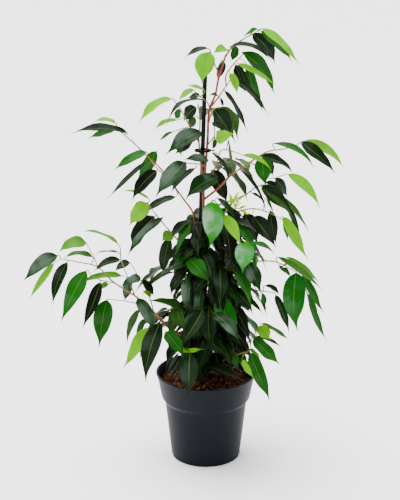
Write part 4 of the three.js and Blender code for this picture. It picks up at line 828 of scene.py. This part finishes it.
def make_tie(name, height, stem_points):
    """A tie: a flat band round the stake and the stem beside it, an oval centre line
    carrying a rounded section, and a tail of two wires twisted round each other."""
    centre = stake_axis(height)
    stem = nearest(stem_points, centre)
    half_width = STAKE_RADIUS + 2 * MAIN_STEM_RADII[0] + STEM_GAP + TIE_CLEARANCE + TIE_HALF_THICKNESS
    half_depth = STAKE_RADIUS + MAIN_STEM_RADII[0] + STEM_GAP + TIE_CLEARANCE + TIE_HALF_THICKNESS
    centre = centre + np.array([0, (stem[1] - centre[1]) / 2, 0])
    b = full_turn(48)
    out = np.stack([np.cos(b), np.sin(b), np.zeros(48)], axis=1)
    middle = centre + out * [half_width, half_depth, 0]
    away = unit(out / [half_width, half_depth, 1])
    c = -full_turn(12)
    flat = np.sign(np.cos(c)) * np.abs(np.cos(c)) ** 0.6 * 0.65
    tall = np.sign(np.sin(c)) * np.abs(np.sin(c)) ** 0.6 * 1.9
    rings = middle[:, None] + away[:, None] * flat[:, None] + SKY * tall[:, None]
    parts = [sleeve(rings, closed=True)]
    t = np.linspace(0, 1, 30)
    for start in (0, math.pi):
        twist = 4.5 * math.pi * t + start
        wire = np.stack([half_width + 0.2 + 6.2 * t, 0.75 * np.cos(twist), 0.75 * np.sin(twist)], axis=1)
        parts.append(sleeve(tube(centre + wire, np.full(30, 0.6), 8)))
    return put_mesh(name, *gather(parts))


# ---- materials --------------------------------------------------------------------------------
def node(tree, kind, **values):
    """A shader node of a kind, with its settings and the plain values of its inputs."""
    made = tree.nodes.new(kind)
    for name, value in values.items():
        if hasattr(made, name):
            setattr(made, name, value)
        else:
            made.inputs[name.replace("_", " ")].default_value = value
    return made


def maths(tree, operation, first, second=0.5, clamp=False):
    """A Math node on two values or sockets; its result's socket."""
    made = tree.nodes.new("ShaderNodeMath")
    made.operation, made.use_clamp = operation, clamp
    for socket, value in zip(made.inputs, (first, second)):
        if isinstance(value, bpy.types.NodeSocket):
            tree.links.new(value, socket)
        else:
            socket.default_value = value
    return made.outputs[0]


def mix(tree, share, first, second, blend="MIX"):
    """A colour Mix node: first where the share is 0, second where it is 1."""
    made = tree.nodes.new("ShaderNodeMix")
    made.data_type, made.blend_type = "RGBA", blend
    for socket, value in ((made.inputs[0], share), (made.inputs[6], first), (made.inputs[7], second)):
        if isinstance(value, bpy.types.NodeSocket):
            tree.links.new(value, socket)
        else:
            socket.default_value = value if np.isscalar(value) else (*value, 1)
    return made.outputs[2]


def limits(tree, value, low, high, to_low=0.0, to_high=1.0):
    """A smooth step: a value from low to high becomes to_low to to_high."""
    made = tree.nodes.new("ShaderNodeMapRange")
    made.interpolation_type = "SMOOTHSTEP"
    tree.links.new(value, made.inputs["Value"])
    for name, number in zip(("From Min", "From Max", "To Min", "To Max"), (low, high, to_low, to_high)):
        made.inputs[name].default_value = number
    return made.outputs["Result"]


def noise_of(tree, vector, scale, detail=3.0, rough=0.55):
    """The value of a noise at a vector, about 0.5 on average."""
    made = node(tree, "ShaderNodeTexNoise", Scale=scale, Detail=detail, Roughness=rough)
    tree.links.new(vector, made.inputs["Vector"])
    return made.outputs["Fac"]


def mottle_group():
    """Uneven colour, for every finish: the colour made lighter and darker by a coarse and a
    fine noise, and the fine noise by itself as a grain for roughness and height."""
    tree = bpy.data.node_groups.new("uneven colour", "ShaderNodeTree")
    for name, kind in (("Vector", "NodeSocketVector"), ("Colour", "NodeSocketColor"),
                       ("Coarse", "NodeSocketFloat"), ("Fine", "NodeSocketFloat"),
                       ("Amount", "NodeSocketFloat")):
        tree.interface.new_socket(name, in_out="INPUT", socket_type=kind)
    for name, kind in (("Colour", "NodeSocketColor"), ("Grain", "NodeSocketFloat"),
                       ("Patch", "NodeSocketFloat")):
        tree.interface.new_socket(name, in_out="OUTPUT", socket_type=kind)
    given, put = tree.nodes.new("NodeGroupInput"), tree.nodes.new("NodeGroupOutput")
    values = []
    for scale in ("Coarse", "Fine"):
        noise = node(tree, "ShaderNodeTexNoise", Detail=4.0, Roughness=0.6)
        tree.links.new(given.outputs["Vector"], noise.inputs["Vector"])
        tree.links.new(given.outputs[scale], noise.inputs["Scale"])
        values.append(noise.outputs["Fac"])
    both = maths(tree, "ADD", maths(tree, "MULTIPLY", values[0], 1.3), values[1])
    swing = maths(tree, "MULTIPLY", maths(tree, "SUBTRACT", both, 1.15), given.outputs["Amount"])
    tone = maths(tree, "ADD", swing, 1.0)
    shade = tree.nodes.new("ShaderNodeCombineColor")
    for socket in shade.inputs:
        tree.links.new(tone, socket)
    shaded = mix(tree, 1.0, given.outputs["Colour"], shade.outputs[0], "MULTIPLY")
    tree.links.new(shaded, put.inputs["Colour"])
    tree.links.new(values[1], put.inputs["Grain"])
    tree.links.new(values[0], put.inputs["Patch"])
    return tree


MOTTLE = mottle_group()


def new_material(name, **shader_values):
    """A material with a Principled shader; the numbers the same all over go on its sockets."""
    material = bpy.data.materials.new(name)
    material.use_nodes = True
    tree = material.node_tree
    shader = tree.nodes["Principled BSDF"]
    for key, value in shader_values.items():
        shader.inputs[key.replace("_", " ")].default_value = value
    return material, tree, shader


def mottled(tree, vector, colour, coarse, fine, amount):
    """The uneven colour group placed in a material with its own values."""
    made = tree.nodes.new("ShaderNodeGroup")
    made.node_tree = MOTTLE
    tree.links.new(vector, made.inputs["Vector"])
    if isinstance(colour, bpy.types.NodeSocket):
        tree.links.new(colour, made.inputs["Colour"])
    else:
        made.inputs["Colour"].default_value = (*colour, 1)
    for name, value in (("Coarse", coarse), ("Fine", fine), ("Amount", amount)):
        made.inputs[name].default_value = value
    return made


def raise_by(tree, shader, height, distance, strength=1.0):
    """A bump of a height in metres on the shader's normal."""
    bump = tree.nodes.new("ShaderNodeBump")
    bump.inputs["Strength"].default_value = strength
    bump.inputs["Distance"].default_value = distance
    tree.links.new(height, bump.inputs["Height"])
    tree.links.new(bump.outputs["Normal"], shader.inputs["Normal"])


def at_object(tree):
    """Object coordinates, the same as the frame's metres."""
    return tree.nodes.new("ShaderNodeTexCoord").outputs["Object"]


def leaf_material():
    """Waxy leaf: the tint, uneven; a pale midrib and fine side veins from the blade's own
    UV; a painted whitish sheen, a painted reflection of the light, in soft patches on the upper side; a paler
    margin."""
    material, tree, shader = new_material("waxy fig leaf", Specular_IOR_Level=0.06)
    tint = node(tree, "ShaderNodeVertexColor", layer_name="tint")
    uv = tree.nodes.new("ShaderNodeUVMap")
    uv.uv_map = "along"
    split = tree.nodes.new("ShaderNodeSeparateXYZ")
    tree.links.new(uv.outputs["UV"], split.inputs[0])
    u, v = split.outputs[0], split.outputs[1]
    off = maths(tree, "ABSOLUTE", maths(tree, "SUBTRACT", v, 0.5))
    on_blade = limits(tree, u, 0.0, 0.05)
    width = maths(tree, "MULTIPLY_ADD", u, -0.02)
    width.node.inputs[2].default_value = 0.045
    from_rib = maths(tree, "DIVIDE", off, width)
    rib = maths(tree, "MULTIPLY", limits(tree, from_rib, 0.3, 1.0, 1.0, 0.0), on_blade)
    slant = maths(tree, "SUBTRACT", maths(tree, "MULTIPLY", u, 17.0), maths(tree, "MULTIPLY", off, 9.0))
    comb = maths(tree, "ABSOLUTE", maths(tree, "SUBTRACT", maths(tree, "FRACT", slant), 0.5))
    veins = maths(tree, "MULTIPLY", limits(tree, comb, 0.0, 0.13, 1.0, 0.0), on_blade)
    body = mottled(tree, at_object(tree), tint.outputs["Color"], 60.0, 420.0, 0.4)
    veined = mix(tree, maths(tree, "MULTIPLY", veins, 0.13), body.outputs["Colour"], srgb(140, 170, 90))
    ribbed = mix(tree, maths(tree, "MULTIPLY", rib, 0.42), veined, srgb(150, 182, 96))
    margin = maths(tree, "MULTIPLY", limits(tree, off, 0.455, 0.5), 0.22)
    edged = mix(tree, maths(tree, "MULTIPLY", margin, on_blade), ribbed, srgb(120, 150, 60))
    # Painted sheen: a whitish painted reflection is mixed into the base colour. It lies in noise patches,
    # stronger to one side of the midrib and in the middle of the blade's length, scaled by the tint's fourth
    # channel.
    patch = limits(tree, noise_of(tree, at_object(tree), 34.0, 3.0, 0.5), 0.38, 0.6)
    patch = maths(tree, "MULTIPLY", patch, limits(tree, v, 0.3, 0.75, 0.35, 1.0))
    lengthwise = maths(tree, "MULTIPLY", limits(tree, u, 0.05, 0.3), limits(tree, u, 0.55, 0.92, 1.0, 0.0))
    painted_sheen = maths(tree, "MULTIPLY", maths(tree, "MULTIPLY", patch, lengthwise), tint.outputs["Alpha"])
    # The pale colour mixed in here is the painted reflection.
    with_painted_sheen = mix(tree, maths(tree, "MULTIPLY", painted_sheen, 0.62, True), edged, srgb(232, 248, 238))
    tree.links.new(with_painted_sheen, shader.inputs["Base Color"])
    rough = maths(tree, "ADD", maths(tree, "MULTIPLY", body.outputs["Grain"], 0.22), 0.27)
    tree.links.new(maths(tree, "ADD", rough, maths(tree, "MULTIPLY", rib, 0.15)), shader.inputs["Roughness"])
    height = maths(tree, "ADD", maths(tree, "MULTIPLY", rib, -0.9), maths(tree, "MULTIPLY", veins, -0.22))
    grain = maths(tree, "MULTIPLY", body.outputs["Grain"], 0.9)
    raise_by(tree, shader, maths(tree, "ADD", height, grain), 0.0006, 0.8)
    return material


def bark_material():
    """Bark: yellow-green on young wood through red-brown to grey-brown on old, streaked
    along the stem and dotted with small pale pores."""
    material, tree, shader = new_material("thin fig bark")
    tint = node(tree, "ShaderNodeVertexColor", layer_name="tint")
    split = tree.nodes.new("ShaderNodeSeparateColor")
    tree.links.new(tint.outputs["Color"], split.inputs[0])
    old = limits(tree, split.outputs[0], 0.0, 0.45)
    oldest = limits(tree, split.outputs[0], 0.55, 1.0)
    colour = mix(tree, oldest, mix(tree, old, srgb(164, 176, 40), srgb(176, 88, 34)), srgb(158, 88, 50))
    stretch = node(tree, "ShaderNodeMapping")
    stretch.inputs["Scale"].default_value = (1.0, 1.0, 0.12)
    tree.links.new(at_object(tree), stretch.inputs["Vector"])
    body = mottled(tree, stretch.outputs["Vector"], colour, 260.0, 1500.0, 1.1)
    pores = node(tree, "ShaderNodeTexVoronoi", Scale=420.0)
    tree.links.new(at_object(tree), pores.inputs["Vector"])
    pore = maths(tree, "MULTIPLY", limits(tree, pores.outputs["Distance"], 0.12, 0.26, 1.0, 0.0), oldest)
    tree.links.new(mix(tree, maths(tree, "MULTIPLY", pore, 0.5), body.outputs["Colour"], srgb(190, 150, 110)),
                   shader.inputs["Base Color"])
    rough = maths(tree, "ADD", maths(tree, "MULTIPLY", body.outputs["Grain"], 0.3), 0.45)
    tree.links.new(rough, shader.inputs["Roughness"])
    raise_by(tree, shader, maths(tree, "ADD", body.outputs["Grain"], pore), 0.0004, 0.8)
    return material


def plastic_material(name, colour, worn, coarse, fine, roughness, bump):
    """Moulded plastic: uneven, faintly grained, with dull scuffs where a slow noise is high."""
    material, tree, shader = new_material(name, Specular_IOR_Level=0.1)
    place_at = at_object(tree)
    body = mottled(tree, place_at, colour, coarse, fine, 0.45)
    scuff = limits(tree, noise_of(tree, place_at, 38.0, 6.0, 0.7), 0.56, 0.72)
    scuffed = mix(tree, maths(tree, "MULTIPLY", scuff, 0.35), body.outputs["Colour"], worn)
    tree.links.new(scuffed, shader.inputs["Base Color"])
    rough = maths(tree, "ADD", maths(tree, "MULTIPLY", body.outputs["Grain"], 0.16), roughness)
    tree.links.new(maths(tree, "ADD", rough, maths(tree, "MULTIPLY", scuff, 0.1)), shader.inputs["Roughness"])
    raise_by(tree, shader, body.outputs["Grain"], bump, 0.5)
    return material


def soil_material(name, colour, from_tint):
    """Damp potting mix, or with from_tint its chips and fibres in their own tints."""
    material, tree, shader = new_material(name, Specular_IOR_Level=0.25)
    if from_tint:
        colour = node(tree, "ShaderNodeVertexColor", layer_name="tint").outputs["Color"]
    body = mottled(tree, at_object(tree), colour, 240.0, 1400.0, 1.5)
    tree.links.new(body.outputs["Colour"], shader.inputs["Base Color"])
    rough = maths(tree, "ADD", maths(tree, "MULTIPLY", body.outputs["Grain"], 0.2), 0.72)
    tree.links.new(rough, shader.inputs["Roughness"])
    raise_by(tree, shader, maths(tree, "ADD", body.outputs["Grain"], body.outputs["Patch"]), 0.0009, 0.9)
    return material


def floor_material():
    """A plain pale floor with the faintest unevenness."""
    material, tree, shader = new_material("pale floor", Roughness=0.8)
    body = mottled(tree, at_object(tree), (0.93, 0.93, 0.93), 3.0, 40.0, 0.01)
    tree.links.new(body.outputs["Colour"], shader.inputs["Base Color"])
    return material


# ---- the plant put together -----------------------------------------------------------------------
LEAF = leaf_material()
BARK = bark_material()
POT_PLASTIC = plastic_material("slate pot plastic", srgb(38, 48, 62), srgb(78, 88, 102),
                               coarse=16.0, fine=900.0, roughness=0.42, bump=0.00012)
STAKE_PLASTIC = plastic_material("black stake plastic", srgb(16, 18, 24), srgb(50, 54, 62),
                                 coarse=60.0, fine=1600.0, roughness=0.3, bump=0.0001)
TIE_PLASTIC = plastic_material("dark tie plastic", srgb(18, 30, 24), srgb(52, 66, 56),
                               coarse=200.0, fine=1800.0, roughness=0.4, bump=0.0001)
SOIL = soil_material("damp potting mix", srgb(44, 24, 15), False)
CHIPS = soil_material("bark and coir", None, True)

finish(make_pot(), "pot", POT_PLASTIC, "pot")
finish(make_soil(), "soil", SOIL, "soil")
finish(make_chips(count=1500), "soil", CHIPS)
finish(make_fibres(count=420), "soil", CHIPS)
finish(make_stake(), "stake", STAKE_PLASTIC, "stake")

grown = {}
for stem, radii, ages in (("main_stem", MAIN_STEM_RADII, (1.0, 0.5)),
                          ("second_stem", SECOND_STEM_RADII, (0.9, 0.35))):
    grown[stem] = bar_points(STEM_PATHS[stem], STEM_STEPS[stem])
    piece = put_mesh(stem + "_bark", *twig(STEM_PATHS[stem], radii, ages, around=16, spacing=2.5, knots=31.0))
    finish(piece, "bark", BARK, stem)
for tie, height in TIE_HEIGHTS.items():
    finish(make_tie(tie + "_band", height, grown["main_stem"]), "tie", TIE_PLASTIC, tie)


def add_branch(name, paths, radii, leaves, tones, replaced):
    """A branch's wood as one piece and its leaves as another, each petiole starting on the
    nearest wood past the first fifth of a path."""
    wood = [twig(path, (radii[0] * (0.8 if k else 1), radii[1]), ages=(0.45, 0.0))
            for k, path in enumerate(paths)]
    finish(put_mesh(name + "_wood", *gather(wood)), "bark", BARK, *replaced)
    roots = np.vstack([spaced(path, 60)[12:] for path in paths])
    blades = [leaf(*shape, nearest(roots, shape[0]), tone, 0.37 * k + 0.011 * shape[1][2])
              for k, (shape, tone) in enumerate(zip(leaves, tones))]
    finish(put_mesh(name + "_leaves", *gather(blades)), "leaf", LEAF, *replaced)


for name, parent, radii, tones, wood, leaf_rows in BRANCHES:
    paths, leaves = listed_branch(name, grown[parent], wood, leaf_rows)
    grown[name] = bar_points(paths[0])
    add_branch(name, paths, radii, leaves, tones, [name])
for name, parent, height, direction, length, count, spread, tones in SHOOTS:
    paths, leaves = listed_shoot(name, grown[parent], height, direction, length, count, spread)
    add_branch(name, paths, (1.6, 0.8), leaves, tones, [name])

shoots = [inner_shoot(i, grown["main_stem"]) for i in range(INNER_SHOOTS)]
for part in range(INNER_PARTS):
    chosen = shoots[part::INNER_PARTS]
    inner_leaves = [shape for _, leaves in chosen for shape in leaves]
    tones = [INNER_TONES[(3 * k + part) % len(INNER_TONES)] for k in range(len(inner_leaves))]
    paths = [path for path, _ in chosen]
    add_branch(f"inner_shoots_{part + 1}", paths, (1.1, 0.7), inner_leaves, tones, [])

# ---- floor, light and camera ------------------------------------------------------------------------
FLOOR_REACH = 40000.0
floor_corners = FLOOR_REACH * np.array([(-1, -1, 0), (1, -1, 0), (1, 1, 0), (-1, 1, 0)])
floor = put_mesh("floor", floor_corners, [(0, 1, 2, 3)])
floor.data.materials.append(floor_material())

world = bpy.data.worlds.new("soft sky")
world.use_nodes = True
sky = world.node_tree
sky.nodes["Background"].inputs["Color"].default_value = (1, 1, 1, 1)
facing = sky.nodes.new("ShaderNodeSeparateXYZ")
sky.links.new(sky.nodes.new("ShaderNodeTexCoord").outputs["Generated"], facing.inputs[0])
behind = limits(sky, facing.outputs[1], -0.75, 0.35, 0.3, 2.7)
sky.links.new(behind, sky.nodes["Background"].inputs["Strength"])
bpy.context.scene.world = world


def area_light(name, place_at, target, size, energy):
    """A square soft light at a place in metres, turned to face its target."""
    lamp = bpy.data.lights.new(name, "AREA")
    lamp.shape, lamp.size, lamp.energy = "SQUARE", size, energy
    holder = put_object(name, lamp)
    ahead = np.array(target) - np.array(place_at)
    holder.location = place_at
    pitch = math.atan2(math.hypot(ahead[0], ahead[1]), -ahead[2])
    holder.rotation_euler = (pitch, 0, math.atan2(-ahead[0], ahead[1]))


area_light("key light", (-1.3, -1.5, 2.2), (0, 0, 0.35), size=0.9, energy=34)
area_light("fill light", (1.8, -0.9, 1.4), (0, 0, 0.4), size=1.2, energy=10)

sun = bpy.data.lights.new("top light", "SUN")
sun.energy, sun.angle = 6.5, math.radians(50)
sun_holder = put_object("top light", sun)
sun_holder.rotation_euler = (math.radians(-12), math.radians(-14), 0)

CAMERA_TILT = 17.19
camera = bpy.data.cameras.new("front camera")
camera.lens, camera.sensor_width, camera.clip_end = 91.15, 36, 200
camera_holder = put_object("front camera", camera)
camera_holder.location = SIGHT * MM
camera_holder.rotation_euler = (math.radians(90 - CAMERA_TILT), 0, 0)
bpy.context.scene.camera = camera_holder
